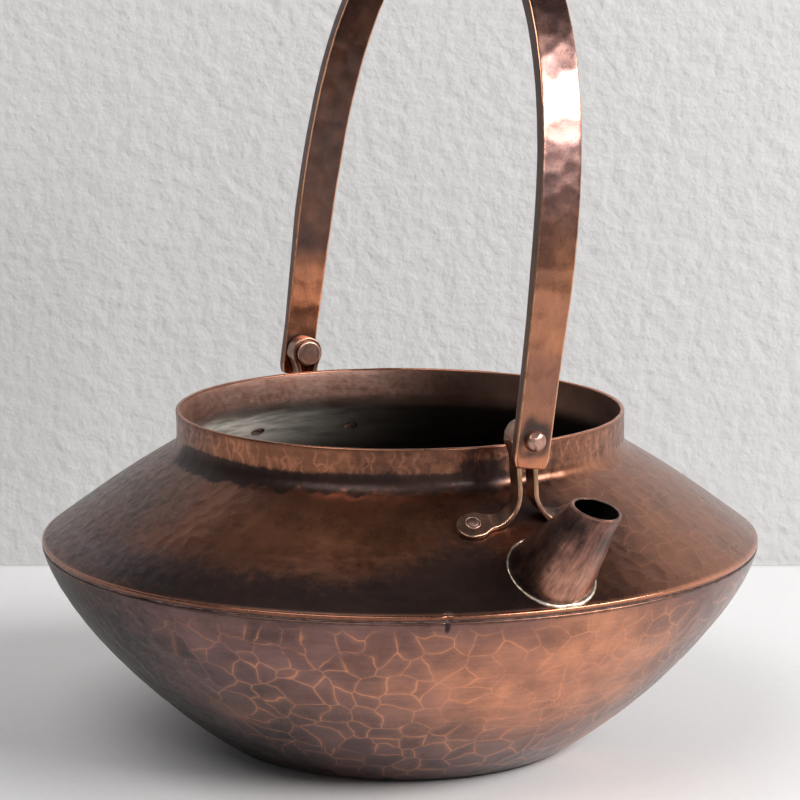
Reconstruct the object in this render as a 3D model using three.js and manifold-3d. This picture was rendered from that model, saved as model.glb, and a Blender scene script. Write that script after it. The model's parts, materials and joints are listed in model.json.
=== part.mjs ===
// Hammered copper watering can: a wide low body, a short spout and a swinging strap handle.
// Millimetres, +Z up, origin at the centre of the foot's underside. The spout points along +X,
// and the handle swings about the X axis. Every piece is a separate closed mesh.
import * as THREE from 'three';
import { mergeVertices } from 'three/addons/utils/BufferGeometryUtils.js';
import Module from 'manifold-3d';

const wasm = await Module();
wasm.setup();

// ---------- driving dimensions ----------
const SHEET = 1.2; // thickness of the copper sheet
const GAP = 0.3; // space left between touching pieces

const EQUATOR_R = 100; // widest radius, where bowl and shoulder meet
const FOOT_FLAT_R = 46.5; // flat part of the foot
const FOOT_EDGE = [50.2, 1.2]; // where the foot's rounding runs into the bowl
const BOWL_PULL_LOW = [72.5, 15.1]; // the two control points of the bowl's bulge
const BOWL_PULL_HIGH = [97.0, 42.5];
const BOWL_TOP_Z = 56.9;

const LIP_HEIGHT = 1.4; // short upright edge of the shoulder, standing on the bowl
const SHOULDER_FOOT = [99.3, 58.9];
const SHOULDER_PULL = [81.4, 72.7]; // control point of the slightly domed shoulder
const SHOULDER_TOP = [65.3, 82.1];
const NECK_R = 62.5;
const NECK_FILLET_TOP_Z = 86.9;
const RIM_Z = 94;

const HARDWARE_Y = 1.9; // spout, brackets and handle stand this far beside the body's axis
const PIVOT_Z = 98; // axis of the two handle pins
const HANDLE_LEAN = THREE.MathUtils.degToRad(-7.3); // the handle stands a little over to +Y
const STRAP_OUTER_X = 79.7; // outer face of the strap at the pins
const STRAP_END_DROP = 7.4; // the strap's end hangs this far below the pin
const STRAP_STRAIGHT = 35; // height above the pins where the arch begins
const STRAP_SPREAD_X = 80;
const CROWN_RISE = 137; // outer face of the crown above the pins
const ARCH_PULL_UP = 110; // control heights and widths of the arch
const ARCH_PULL_IN = 42;
const STRAP_END_THICK = 3.2;
const STRAP_THICK = 4;
const STRAP_TIP_W = 8.2;
const STRAP_PIN_W = 10.1;
const STRAP_W = 11.6;
const STRAP_BEVEL = 0.6;

const TENON_R = 1.8; // end of the pin, peened over the strap
const PEEN_R = 2.5;
const PEEN_HEIGHT = 2;
const SHANK_R = 3.1; // shoulder of the pin, turning in the bracket's eye
const PIN_HEAD_R = 3.6;
const PIN_HEAD_THICK = 1.2;

const STRIP_THICK = 1.4; // bracket strip
const STRIP_W = 5.2;
const EYE_R = SHANK_R + 0.1; // running clearance around the pin
const LEG_HALF_GAP = 1.6;
const NECKING_R = 15; // sweep from the eye into the legs
const LEG_BEND_R = 7.5;
const FOOT_X = 74.4; // middle of the riveted feet
const FOOT_W = 8.6;
const FOOT_TAPER_Y = 13;
const FOOT_END_Y = 19.6;
const RIVET_Y = 15.2;
const RIVET_R = 1.25;
const RIVET_HEAD_R = 2.15;

const SPOUT_TIP = [115.0, 86.8]; // x and z of the mouth's centre
const SPOUT_RISE = THREE.MathUtils.degToRad(40.7); // axis above the horizontal
const SPOUT_TIP_R = 6.1;
const SPOUT_BASE_R = 11.6;
const SPOUT_LENGTH = 34; // from the mouth down to where SPOUT_BASE_R is measured
const MOUTH_SLOPE = THREE.MathUtils.degToRad(10.5); // the mouth faces up and a little outwards
const SOLDER_R = 0.5;

const AROUND = 72; // segments of the body
const ROUND = 32; // segments of the small turned pieces

// ---------- helpers ----------
const vec2 = ([x, y]) => new THREE.Vector2(x, y);
const vec3 = (x, y, z) => new THREE.Vector3(x, y, z);

// Keeps positions only, joins equal vertices and drops triangles with no area.
function weld(geometry) {
  const bare = geometry.index ? geometry.toNonIndexed() : geometry.clone();
  for (const name of Object.keys(bare.attributes)) if (name !== 'position') bare.deleteAttribute(name);
  const merged = mergeVertices(bare, 1e-4);
  const corners = merged.index.array;
  const kept = [];
  for (let i = 0; i < corners.length; i += 3) {
    const [a, b, c] = corners.slice(i, i + 3);
    if (a !== b && b !== c && c !== a) kept.push(a, b, c);
  }
  merged.setIndex(kept);
  return merged;
}

function toSolid(geometry) {
  const welded = weld(geometry);
  return new wasm.Manifold(new wasm.Mesh({
    numProp: 3,
    vertProperties: new Float32Array(welded.attributes.position.array),
    triVerts: new Uint32Array(welded.index.array),
  }));
}

function toGeometry(solid) {
  const mesh = solid.getMesh();
  const geometry = new THREE.BufferGeometry();
  geometry.setAttribute('position', new THREE.BufferAttribute(mesh.vertProperties, 3));
  geometry.setIndex(new THREE.BufferAttribute(mesh.triVerts, 1));
  return geometry;
}

function cut(geometry, tools) {
  return toGeometry(tools.reduce((solid, tool) => solid.subtract(toSolid(tool)), toSolid(geometry)));
}

// Turns an outline of [radius, height] points about the Z axis.
function turned(points, segments) {
  return new THREE.LatheGeometry(points, segments).rotateX(Math.PI / 2);
}

// The same outline moved inwards by a distance. Edges that are off the axis stay cut level.
function offsetOutline(outline, distance) {
  return outline.map((point, i) => {
    const before = outline[Math.max(i - 1, 0)];
    const after = outline[Math.min(i + 1, outline.length - 1)];
    const run = after.clone().sub(before).normalize();
    const isEdge = point.x > 0 && (i === 0 || i === outline.length - 1);
    const rise = isEdge ? 0 : run.x * distance;
    return new THREE.Vector2(Math.max(point.x - run.y * distance, 0), point.y + rise);
  });
}

// Joins rings with the same number of points into one closed body. Open ends get flat caps.
function loft(rings, endless = false) {
  const sides = rings[0].length;
  const corners = [];
  const spans = endless ? rings.length : rings.length - 1;
  for (let i = 0; i < spans; i += 1) {
    const here = i * sides;
    const next = ((i + 1) % rings.length) * sides;
    for (let j = 0; j < sides; j += 1) {
      const k = (j + 1) % sides;
      corners.push(here + j, here + k, next + k, here + j, next + k, next + j);
    }
  }
  if (!endless) {
    const last = (rings.length - 1) * sides;
    for (let j = 1; j < sides - 1; j += 1) {
      corners.push(0, j + 1, j, last, last + j, last + j + 1);
    }
  }
  const geometry = new THREE.BufferGeometry().setFromPoints(rings.flat());
  geometry.setIndex(corners);
  return geometry;
}

function copper(color, roughness) {
  return new THREE.MeshStandardMaterial({ color, roughness, metalness: 1 });
}

const bowlCopper = copper(0x7a4632, 0.45);
const shoulderCopper = copper(0x5f4038, 0.4);
const strapCopper = copper(0x7d5a50, 0.35);
const bracketCopper = copper(0x6b4a38, 0.35);
const rivetCopper = copper(0x9a6a55, 0.4);
const solderMetal = copper(0xc9b890, 0.3);

const can = new THREE.Group();

function addPiece(name, geometry, material, parent = can) {
  const mesh = new THREE.Mesh(weld(geometry), material);
  mesh.name = name;
  parent.add(mesh);
  return mesh;
}

// ---------- body ----------
const bowlOutline = [
  new THREE.Vector2(0, 0),
  ...new THREE.QuadraticBezierCurve(vec2([FOOT_FLAT_R, 0]), vec2([FOOT_FLAT_R + 2.1, 0]), vec2(FOOT_EDGE))
    .getPoints(3),
  ...new THREE.CubicBezierCurve(
    vec2(FOOT_EDGE), vec2(BOWL_PULL_LOW), vec2(BOWL_PULL_HIGH), vec2([EQUATOR_R, BOWL_TOP_Z]),
  ).getPoints(10).slice(1),
];

const lipFootZ = BOWL_TOP_Z + GAP;
const shoulderOutline = [
  vec2([EQUATOR_R, lipFootZ]),
  vec2([EQUATOR_R, lipFootZ + LIP_HEIGHT - 0.5]),
  vec2([EQUATOR_R - 0.25, lipFootZ + LIP_HEIGHT - 0.1]),
  ...new THREE.QuadraticBezierCurve(vec2(SHOULDER_FOOT), vec2(SHOULDER_PULL), vec2(SHOULDER_TOP)).getPoints(6),
  ...new THREE.QuadraticBezierCurve(
    vec2(SHOULDER_TOP), vec2([NECK_R, SHOULDER_TOP[1] + 1.6]), vec2([NECK_R, NECK_FILLET_TOP_Z]),
  ).getPoints(3).slice(1),
  vec2([NECK_R, RIM_Z]),
];

function closedSheet(outline) {
  const inner = offsetOutline(outline, SHEET).reverse();
  const loop = [...outline, ...inner];
  if (outline[0].x > 0) loop.push(outline[0].clone());
  return turned(loop, AROUND);
}

// Height of the shoulder's outer face at a distance from the axis. Past its foot it runs straight on.
function shoulderZ(radius) {
  const slopeLine = shoulderOutline.filter((point) => point.x <= SHOULDER_FOOT[0]);
  const next = Math.max(slopeLine.findIndex((point) => point.x <= radius), 1);
  const [outer, inner] = [slopeLine[next - 1], slopeLine[next]];
  return outer.y + ((outer.x - radius) / (outer.x - inner.x)) * (inner.y - outer.y);
}

// A point of the shoulder's face over (x, y), and the direction straight out of the sheet there.
function shoulderPlace(x, y) {
  const radius = Math.hypot(x, y);
  const slope = (shoulderZ(radius + 2) - shoulderZ(radius - 2)) / 4;
  const out = vec3(-slope * (x / radius), -slope * (y / radius), 1).normalize();
  return { point: vec3(x, y, shoulderZ(radius)), out };
}

// ---------- spout ----------
const spoutAxis = vec3(Math.cos(SPOUT_RISE), 0, Math.sin(SPOUT_RISE));
const spoutTip = vec3(SPOUT_TIP[0], HARDWARE_Y, SPOUT_TIP[1]);
const spoutTaper = (SPOUT_BASE_R - SPOUT_TIP_R) / SPOUT_LENGTH;
const spoutRadius = (along) => SPOUT_TIP_R - spoutTaper * along; // along is 0 at the mouth's centre

function alongSpout(geometry) {
  return geometry
    .rotateY(Math.PI / 2 - SPOUT_RISE)
    .translate(spoutTip.x, spoutTip.y, spoutTip.z);
}

function spoutTube() {
  const low = -SPOUT_LENGTH - 14;
  const high = 8;
  const wall = [
    [spoutRadius(low) - SHEET, low], [spoutRadius(low), low],
    [spoutRadius(high), high], [spoutRadius(high) - SHEET, high],
    [spoutRadius(low) - SHEET, low],
  ].map(vec2);
  const aboveMouth = new THREE.BoxGeometry(40, 40, 20)
    .translate(0, 0, 10)
    .rotateY(MOUTH_SLOPE)
    .translate(spoutTip.x, spoutTip.y, spoutTip.z);
  const bodyBlock = turned([
    new THREE.Vector2(0, 20), new THREE.Vector2(EQUATOR_R + GAP, 20),
    ...offsetOutline(shoulderOutline, -GAP), new THREE.Vector2(0, RIM_Z),
  ], AROUND);
  return cut(alongSpout(turned(wall, 40)), [aboveMouth, bodyBlock]);
}

// The hole in the shoulder that lets water into the spout.
function spoutHole() {
  const low = -SPOUT_LENGTH - 10;
  const high = -SPOUT_LENGTH + 14;
  const margin = SHEET + 1.2;
  return alongSpout(turned([
    [0, low], [spoutRadius(low) - margin, low], [spoutRadius(high) - margin, high], [0, high],
  ].map(vec2), 32));
}

// A thin fillet of solder that follows the line where the spout meets the shoulder.
function spoutSolder() {
  const side = vec3(0, 1, 0);
  const front = spoutAxis.clone().cross(side).normalize();
  const clear = GAP + SOLDER_R;
  const turns = 48;
  const sides = 6;
  const centres = [];
  for (let i = 0; i < turns; i += 1) {
    const turn = (i / turns) * 2 * Math.PI;
    const around = side.clone().multiplyScalar(Math.cos(turn)).addScaledVector(front, Math.sin(turn));
    const at = (along) => spoutTip.clone()
      .addScaledVector(spoutAxis, along)
      .addScaledVector(around, spoutRadius(along) + clear);
    let [low, high] = [-SPOUT_LENGTH - 20, 0];
    for (let step = 0; step < 30; step += 1) {
      const middle = (low + high) / 2;
      const place = at(middle);
      const lift = clear / shoulderPlace(place.x, place.y).out.z;
      if (place.z > shoulderZ(Math.hypot(place.x, place.y)) + lift) high = middle;
      else low = middle;
    }
    centres.push({ point: at(high), around });
  }
  const rings = centres.map(({ point, around }, i) => {
    const before = centres[(i + turns - 1) % turns].point;
    const after = centres[(i + 1) % turns].point;
    const run = after.clone().sub(before).normalize();
    const across = around.clone().addScaledVector(run, -around.dot(run)).normalize();
    const up = run.clone().cross(across);
    return Array.from({ length: sides }, (_, j) => {
      const angle = (j / sides) * 2 * Math.PI;
      return point.clone()
        .addScaledVector(across, SOLDER_R * Math.cos(angle))
        .addScaledVector(up, SOLDER_R * Math.sin(angle));
    });
  });
  return loft(rings, true);
}

// The solder that runs around inside the body, in the corner between bowl and shoulder.
function bodySolder() {
  const radius = EQUATOR_R - SHEET - 1.35;
  const section = new THREE.Path().absarc(radius, lipFootZ, 0.65, 0, 2 * Math.PI).getPoints(6);
  return turned(section, AROUND);
}

// ---------- brackets ----------
const eyeX = STRAP_OUTER_X - STRAP_END_THICK - 0.5 - STRIP_W / 2;
const eyeMidR = EYE_R + STRIP_THICK / 2;
const legY = LEG_HALF_GAP + STRIP_THICK / 2;

const footPlace = (y) => shoulderPlace(FOOT_X, HARDWARE_Y + y);

// Half of the strip's middle line, from the end of one foot up to the top of the eye. The side is
// +1 or -1. Each station holds its place, the direction across the strip and half its width.
function halfBracket(side) {
  const stations = [];
  const acrossLeg = vec3(-1, 0, 0);
  const addStation = (x, y, z) => stations.push({
    place: vec3(x, HARDWARE_Y + side * y, z), across: acrossLeg, halfW: STRIP_W / 2,
  });

  const bendStartY = legY + LEG_BEND_R;
  const roundR = FOOT_W / 2;
  const along = [0.02, 0.15, 0.5, 1].map((part) => FOOT_END_Y - roundR * part)
    .concat([FOOT_TAPER_Y, (FOOT_TAPER_Y + bendStartY) / 2, bendStartY]);
  for (const y of along) {
    const { point, out } = footPlace(side * y);
    const fromEnd = Math.min(FOOT_END_Y - y, roundR);
    const narrow = (FOOT_TAPER_Y - y) / (FOOT_TAPER_Y - bendStartY);
    const halfW = y > FOOT_TAPER_Y
      ? Math.sqrt(roundR ** 2 - (roundR - fromEnd) ** 2)
      : THREE.MathUtils.lerp(FOOT_W, STRIP_W, narrow) / 2;
    const run = vec3(0, -1, 0).addScaledVector(out, out.y).normalize();
    const place = point.addScaledVector(out, GAP + STRIP_THICK / 2);
    stations.push({ place, across: run.cross(out).normalize(), halfW });
  }

  const foot = stations.at(-1);
  const bendSteps = 5;
  for (let i = 1; i <= bendSteps; i += 1) {
    const part = i / bendSteps;
    const turn = (part * Math.PI) / 2;
    addStation(
      THREE.MathUtils.lerp(foot.place.x, eyeX, part / 2),
      bendStartY - LEG_BEND_R * Math.sin(turn),
      foot.place.z + LEG_BEND_R * (1 - Math.cos(turn)),
    );
    stations.at(-1).across = foot.across.clone().lerp(acrossLeg, part).normalize();
  }

  const neckingDrop = Math.sqrt((eyeMidR + NECKING_R) ** 2 - (legY + NECKING_R) ** 2);
  const meet = Math.atan2(neckingDrop, legY + NECKING_R); // where the sweep touches the eye
  const neckingSteps = 4;
  for (let i = 0; i <= neckingSteps; i += 1) {
    const angle = Math.PI - meet * (i / neckingSteps);
    addStation(
      eyeX,
      legY + NECKING_R * (1 + Math.cos(angle)),
      PIVOT_Z - neckingDrop + NECKING_R * Math.sin(angle),
    );
  }
  const eyeSteps = 10;
  for (let i = 1; i <= eyeSteps; i += 1) {
    const angle = THREE.MathUtils.lerp(-meet, Math.PI / 2, i / eyeSteps);
    addStation(eyeX, eyeMidR * Math.cos(angle), PIVOT_Z + eyeMidR * Math.sin(angle));
  }
  return stations;
}

function bracketStrip() {
  const stations = [...halfBracket(1), ...halfBracket(-1).reverse().slice(1)];
  const rings = stations.map(({ place, across, halfW }, i) => {
    const before = stations[Math.max(i - 1, 0)].place;
    const after = stations[Math.min(i + 1, stations.length - 1)].place;
    const run = after.clone().sub(before).normalize();
    const out = across.clone().cross(run).normalize();
    const corner = (w, t) => place.clone()
      .addScaledVector(across, w * halfW)
      .addScaledVector(out, (t * STRIP_THICK) / 2);
    return [corner(1, 1), corner(1, -1), corner(-1, -1), corner(-1, 1)];
  });
  return cut(loft(rings), [-RIVET_Y, RIVET_Y].map(rivetHole));
}

function alongOut({ point, out }, geometry) {
  const turn = new THREE.Quaternion().setFromUnitVectors(vec3(0, 0, 1), out);
  return geometry.applyQuaternion(turn).translate(point.x, point.y, point.z);
}

function rivetHole(y) {
  const hole = new THREE.CylinderGeometry(RIVET_R + GAP, RIVET_R + GAP, 12, 20).rotateX(Math.PI / 2);
  return alongOut(footPlace(y), hole);
}

// Rivet through a bracket's foot and the shoulder: low head outside, peened tail inside.
function footRivet(y) {
  const top = GAP + STRIP_THICK + GAP;
  const tail = -SHEET - GAP;
  return alongOut(footPlace(y), turned([
    [0, tail - 0.8], [1.5, tail - 0.8], [RIVET_HEAD_R, tail - 0.4], [RIVET_HEAD_R, tail],
    [RIVET_R, tail], [RIVET_R, top], [RIVET_HEAD_R, top], [RIVET_HEAD_R, top + 0.3],
    [1.5, top + 0.65], [0, top + 0.75],
  ].map(vec2), 16));
}

// ---------- handle ----------
function handleStrap() {
  const up = [STRAP_SPREAD_X, STRAP_STRAIGHT];
  const leg = new THREE.LineCurve(vec2([STRAP_OUTER_X, -STRAP_END_DROP]), vec2(up));
  const arch = new THREE.CubicBezierCurve(
    vec2(up), vec2([STRAP_SPREAD_X, ARCH_PULL_UP]), vec2([ARCH_PULL_IN, CROWN_RISE]), vec2([0, CROWN_RISE]),
  );
  const legParts = [0, 0.02, 0.06, 0.18, 0.36, 0.65, 1];
  const half = [...legParts.map((part) => leg.getPoint(part)), ...arch.getPoints(16).slice(1)];
  const outer = [...half, ...half.slice(0, -1).reverse().map(({ x, y }) => new THREE.Vector2(-x, y))];
  const rings = outer.map((point, i) => {
    const before = outer[Math.max(i - 1, 0)];
    const after = outer[Math.min(i + 1, outer.length - 1)];
    const run = after.clone().sub(before).normalize();
    const grown = THREE.MathUtils.smoothstep(point.y, 0, 60);
    const tip = THREE.MathUtils.smoothstep(point.y, -STRAP_END_DROP - 1.5, -STRAP_END_DROP + 3);
    const wide = THREE.MathUtils.lerp(STRAP_PIN_W, STRAP_W, grown);
    const halfW = THREE.MathUtils.lerp(STRAP_TIP_W - 1.5, wide, tip) / 2;
    const thick = THREE.MathUtils.lerp(STRAP_END_THICK, STRAP_THICK, grown);
    const inward = vec3(-run.y, 0, run.x);
    const corner = (w, t) => vec3(point.x, w, point.y).addScaledVector(inward, t);
    const bevel = STRAP_BEVEL;
    return [
      corner(-halfW + bevel, 0), corner(halfW - bevel, 0), corner(halfW, bevel), corner(halfW, thick - bevel),
      corner(halfW - bevel, thick), corner(-halfW + bevel, thick), corner(-halfW, thick - bevel),
      corner(-halfW, bevel),
    ];
  });
  const pinHole = new THREE.CylinderGeometry(TENON_R + GAP, TENON_R + GAP, 2 * STRAP_SPREAD_X + 20, 24)
    .rotateZ(Math.PI / 2);
  return cut(loft(rings), [pinHole]);
}

// Shouldered pin: flat head inside, shank in the bracket's eye, thin end peened over the strap.
function pivotPin() {
  const strapInner = STRAP_OUTER_X - STRAP_END_THICK;
  const shankEnd = strapInner - GAP;
  const headFace = eyeX - STRIP_W / 2 - GAP;
  const peenFoot = STRAP_OUTER_X + GAP;
  return turned([
    [0, headFace - PIN_HEAD_THICK], [PIN_HEAD_R - 0.3, headFace - PIN_HEAD_THICK],
    [PIN_HEAD_R, headFace - PIN_HEAD_THICK + 0.3], [PIN_HEAD_R, headFace],
    [SHANK_R, headFace], [SHANK_R, shankEnd], [TENON_R, shankEnd], [TENON_R, peenFoot],
    [PEEN_R, peenFoot], [PEEN_R, peenFoot + 1.3], [PEEN_R - 0.7, peenFoot + PEEN_HEIGHT],
    [0, peenFoot + PEEN_HEIGHT + 0.1],
  ].map(vec2), ROUND).rotateY(Math.PI / 2);
}

// ---------- assembly ----------
// The rear bracket and pin are the front ones mirrored across the YZ plane.
function rear(geometry) {
  const mirrored = weld(geometry).scale(-1, 1, 1);
  mirrored.index.array.reverse();
  return mirrored;
}

const allRivetHoles = [-RIVET_Y, RIVET_Y].flatMap((y) => [rivetHole(y), rear(rivetHole(y))]);

addPiece('lower_bowl', closedSheet(bowlOutline), bowlCopper);
addPiece('upper_body', cut(closedSheet(shoulderOutline), [spoutHole(), ...allRivetHoles]), shoulderCopper);
addPiece('body_seam_solder', bodySolder(), solderMetal);
addPiece('spout', spoutTube(), shoulderCopper);
addPiece('spout_solder', spoutSolder(), solderMetal);

addPiece('front_bracket', bracketStrip(), bracketCopper);
addPiece('rear_bracket', rear(bracketStrip()), bracketCopper);
for (const [side, y] of [['left', -RIVET_Y], ['right', RIVET_Y]]) {
  addPiece(`front_bracket_rivet_${side}`, footRivet(y), rivetCopper);
  addPiece(`rear_bracket_rivet_${side}`, rear(footRivet(y)), rivetCopper);
}

const swing = new THREE.Group();
swing.position.set(0, HARDWARE_Y, PIVOT_Z);
swing.rotation.x = HANDLE_LEAN;
can.add(swing);
addPiece('handle', handleStrap(), strapCopper, swing);
addPiece('front_pivot_pin', pivotPin(), rivetCopper, swing);
addPiece('rear_pivot_pin', rear(pivotPin()), rivetCopper, swing);

export default can;
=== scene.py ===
"""Looks of the hammered copper watering can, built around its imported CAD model.

Sizes are in millimetres until a mesh is made, and every mesh is in metres in the row frame.
"""

import json
import math

import bpy
import numpy as np
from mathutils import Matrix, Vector, kdtree


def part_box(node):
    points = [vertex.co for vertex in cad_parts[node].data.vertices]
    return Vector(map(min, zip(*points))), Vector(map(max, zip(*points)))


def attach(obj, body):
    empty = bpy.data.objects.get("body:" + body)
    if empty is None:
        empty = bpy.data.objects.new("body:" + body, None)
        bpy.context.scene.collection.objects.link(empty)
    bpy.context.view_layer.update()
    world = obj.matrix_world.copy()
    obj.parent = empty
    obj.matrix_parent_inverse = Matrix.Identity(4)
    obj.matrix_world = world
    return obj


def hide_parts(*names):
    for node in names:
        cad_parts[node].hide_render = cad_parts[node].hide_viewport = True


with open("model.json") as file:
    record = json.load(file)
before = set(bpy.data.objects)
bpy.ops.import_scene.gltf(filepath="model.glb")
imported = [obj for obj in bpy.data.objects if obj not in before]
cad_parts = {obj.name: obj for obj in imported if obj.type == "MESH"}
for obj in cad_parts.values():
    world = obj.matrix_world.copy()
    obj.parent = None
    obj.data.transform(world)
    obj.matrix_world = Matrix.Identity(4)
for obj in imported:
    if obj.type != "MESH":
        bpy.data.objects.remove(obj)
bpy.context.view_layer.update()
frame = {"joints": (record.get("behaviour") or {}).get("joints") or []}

# ---------- sizes, in mm ----------
# Outlines are [radius, height], and a pull is a point that a curve bends towards.
MM = 0.001
SHEET = 1.2
EQUATOR_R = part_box("lower_bowl")[1].x / MM
BOWL_TOP_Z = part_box("lower_bowl")[1].z / MM
LIP_FOOT_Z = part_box("upper_body")[0].z / MM
RIM_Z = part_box("upper_body")[1].z / MM
FOOT_FLAT_R = 46.5
FOOT_EDGE = (50.2, 1.2)
BOWL_PULL_LOW = (72.5, 15.1)
BOWL_PULL_HIGH = (97.0, 42.5)
LIP_TOP_Z = LIP_FOOT_Z + 1.4
SHOULDER_FOOT = (99.3, 58.9)
SHOULDER_PULL = (81.4, 72.7)
SHOULDER_TOP = (65.3, 82.1)
NECK_R = 62.5
NECK_FILLET_TOP_Z = 86.9

PIVOT = np.array(frame["joints"][0]["pos_m"]) / MM
HARDWARE_Y = PIVOT[1]
HANDLE_LEAN = math.radians(-7.3)
STRAP_OUTER_X = 79.7
STRAP_END_DROP = 7.4
STRAP_STRAIGHT = 35
STRAP_SPREAD_X = 80
CROWN_RISE = 137
ARCH_PULL_UP = 110
ARCH_PULL_IN = 42
STRAP_END_THICK = 3.2
STRAP_THICK = 4
STRAP_TIP_W = 8.2
STRAP_PIN_W = 10.1
STRAP_W = 11.6

SHANK_R = 3.1
TENON_R = 1.8
PEEN_R = 2.7
PIN_HEAD_R = 3.6
STRIP_THICK = 1.4
STRIP_W = 5.2
FOOT_X = 74.4
FOOT_W = 8.6
FOOT_TAPER_Y = 13
FOOT_END_Y = 19.6
FOOT_STATIONS = 25
FOOT_LIFT = STRIP_THICK / 2 - 0.05
RIVET_Y = 15.2
RIVET_HEAD_R = 2.15
LEG_Y = 2.3
LEG_BEND_R = 7.5
NECKING_R = 15
EYE_MID_R = 4.0
EYE_X = STRAP_OUTER_X - STRAP_END_THICK - 0.5 - STRIP_W / 2

SPOUT_TIP = np.array([115.0, HARDWARE_Y, 86.8])
SPOUT_RISE = math.radians(40.7)
SPOUT_TIP_R = 6.1
SPOUT_TAPER = (11.6 - SPOUT_TIP_R) / 34
SPOUT_WALL = 0.8
MOUTH_SLOPE = math.radians(10.5)
MOUTH_ROLL = math.radians(6)

NICK_TURN = -17.5  # where something struck the lip, in degrees round the body
BOWL_FACET = 6.9
SHOULDER_FACET = 5.6
COLUMNS = 960  # segments round the body outside
INNER_COLUMNS = 240


# ---------- small maths ----------
def smooth(value, low, high):
    """0 below low, 1 above high and a soft step between. Falls instead where high is the lower."""
    part = np.clip((np.asarray(value, float) - low) / (high - low), 0, 1)
    return part * part * (3 - 2 * part)


def hump(value, centre, width):
    return np.exp(-(((np.asarray(value, float) - centre) / width) ** 2))


def blend(low, high, part):
    return low + (high - low) * part


def unit(vectors):
    return vectors / np.maximum(np.linalg.norm(vectors, axis=-1, keepdims=True), 1e-12)


def degrees_from(turn, centre):
    """How far an angle lies from centre, from -180 to 180 degrees."""
    return (turn - centre + 180) % 360 - 180


def hump_at(turn, centre, width):
    """A hump round the body, with every angle in degrees."""
    return hump(degrees_from(turn, centre), 0, width)


def turn_of(points):
    return np.degrees(np.arctan2(points[:, 1], points[:, 0]))


def radius_of(points):
    return np.hypot(points[:, 0], points[:, 1])


def full_turn(count):
    """Evenly spaced angles of one turn, in radians."""
    return np.linspace(0, 2 * np.pi, count + 1)[:-1]


def rounded_off(distance, radius):
    """How much a round edge takes away at a distance from the end."""
    part = np.clip(distance / radius, 0, 1)
    return radius * (1 - np.sqrt(part * (2 - part)))


def waves(points, wavelength, seed):
    """Smooth noise with a spread of about 0.5 round 0: sine waves in seeded directions."""
    count = 12
    rng = np.random.default_rng(seed)
    ways = unit(rng.normal(size=(count, 3)))
    rates = ways * (2 * np.pi / (wavelength * rng.uniform(0.7, 1.5, count)))[:, None]
    total = np.sin(points @ rates.T + rng.uniform(0, 2 * np.pi, count)).sum(axis=-1)
    return total / math.sqrt(2 * count)


def bezier(points, count):
    """Points along the Bezier curve with two, three or four control points."""
    part = np.linspace(0, 1, count)[:, None]
    layer = [np.array(p, float)[None] for p in points]
    while len(layer) > 1:
        layer = [blend(a, b, part) for a, b in zip(layer, layer[1:])]
    return layer[0]


def evened(points, spacing):
    """The same line with its points a steady distance apart."""
    lengths = np.r_[0, np.cumsum(np.linalg.norm(np.diff(points, axis=0), axis=1))]
    count = max(int(round(lengths[-1] / spacing)), 1) + 1
    at = np.linspace(0, lengths[-1], count)
    return np.stack([np.interp(at, lengths, points[:, i]) for i in range(points.shape[1])], axis=1)


def joined(*runs):
    """Runs of points end to end, without the doubled ones."""
    line = np.vstack(runs)
    keep = np.r_[True, np.linalg.norm(np.diff(line, axis=0), axis=1) > 1e-6]
    return line[keep]


def arc(centre, radius, start, end, count):
    angles = np.radians(np.linspace(start, end, count))
    return np.stack([centre[0] + radius * np.cos(angles), centre[1] + radius * np.sin(angles)], axis=1)


def line_normals(line):
    """The right-hand normals of a 2-D line."""
    run = unit(np.gradient(line, axis=0))
    return np.stack([run[:, 1], -run[:, 0]], axis=1)


# ---------- meshes ----------
def ring_band(first, second, count_a, count_b):
    """Faces between two rings. Their counts are the same, or one is a whole multiple of the other."""
    if count_a == count_b:
        j = np.arange(count_a)
        k = (j + 1) % count_a
        return [np.stack([first + j, first + k, second + k, second + j], axis=1)]
    if count_a < count_b:
        return [face[:, ::-1] for face in ring_band(second, first, count_b, count_a)]
    ratio = count_a // count_b
    fine = np.arange(count_a)
    coarse = ((fine + ratio - ratio // 2) // ratio) % count_b
    fans = np.stack([first + fine, first + (fine + 1) % count_a, second + coarse], axis=1)
    j = np.arange(count_b)
    turn = j * ratio + ratio // 2
    gaps = np.stack([first + turn, second + (j + 1) % count_b, second + j], axis=1)
    return [fans, gaps]


def mesh_object(name, points, faces, materials, face_materials=None):
    """A smooth-shaded object from points in mm. faces is a list of arrays of triangles or quads."""
    corners = np.concatenate([f.ravel() for f in faces]).astype(np.int32)
    sizes = np.concatenate([np.full(len(f), f.shape[1]) for f in faces])
    starts = np.r_[0, np.cumsum(sizes)[:-1]].astype(np.int32)
    triangles = np.vstack([f[:, [0, i, i + 1]] for f in faces for i in range(1, f.shape[1] - 1)])
    a, b, c = (points[triangles[:, i]] for i in range(3))
    if np.einsum("ij,ij->i", a, np.cross(b, c)).sum() < 0:
        corners = np.concatenate([f[:, ::-1].ravel() for f in faces]).astype(np.int32)
    mesh = bpy.data.meshes.new(name)
    mesh.vertices.add(len(points))
    mesh.vertices.foreach_set("co", (points * MM).astype(np.float32).ravel())
    mesh.loops.add(len(corners))
    mesh.loops.foreach_set("vertex_index", corners)
    mesh.polygons.add(len(starts))
    mesh.polygons.foreach_set("loop_start", starts)
    for material in materials:
        mesh.materials.append(material)
    if face_materials is not None:
        mesh.polygons.foreach_set("material_index", np.asarray(face_materials, np.int32))
    mesh.update(calc_edges=True)
    mesh.validate()
    mesh.shade_smooth()
    made = bpy.data.objects.new(name, mesh)
    bpy.context.scene.collection.objects.link(made)
    return made


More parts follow.
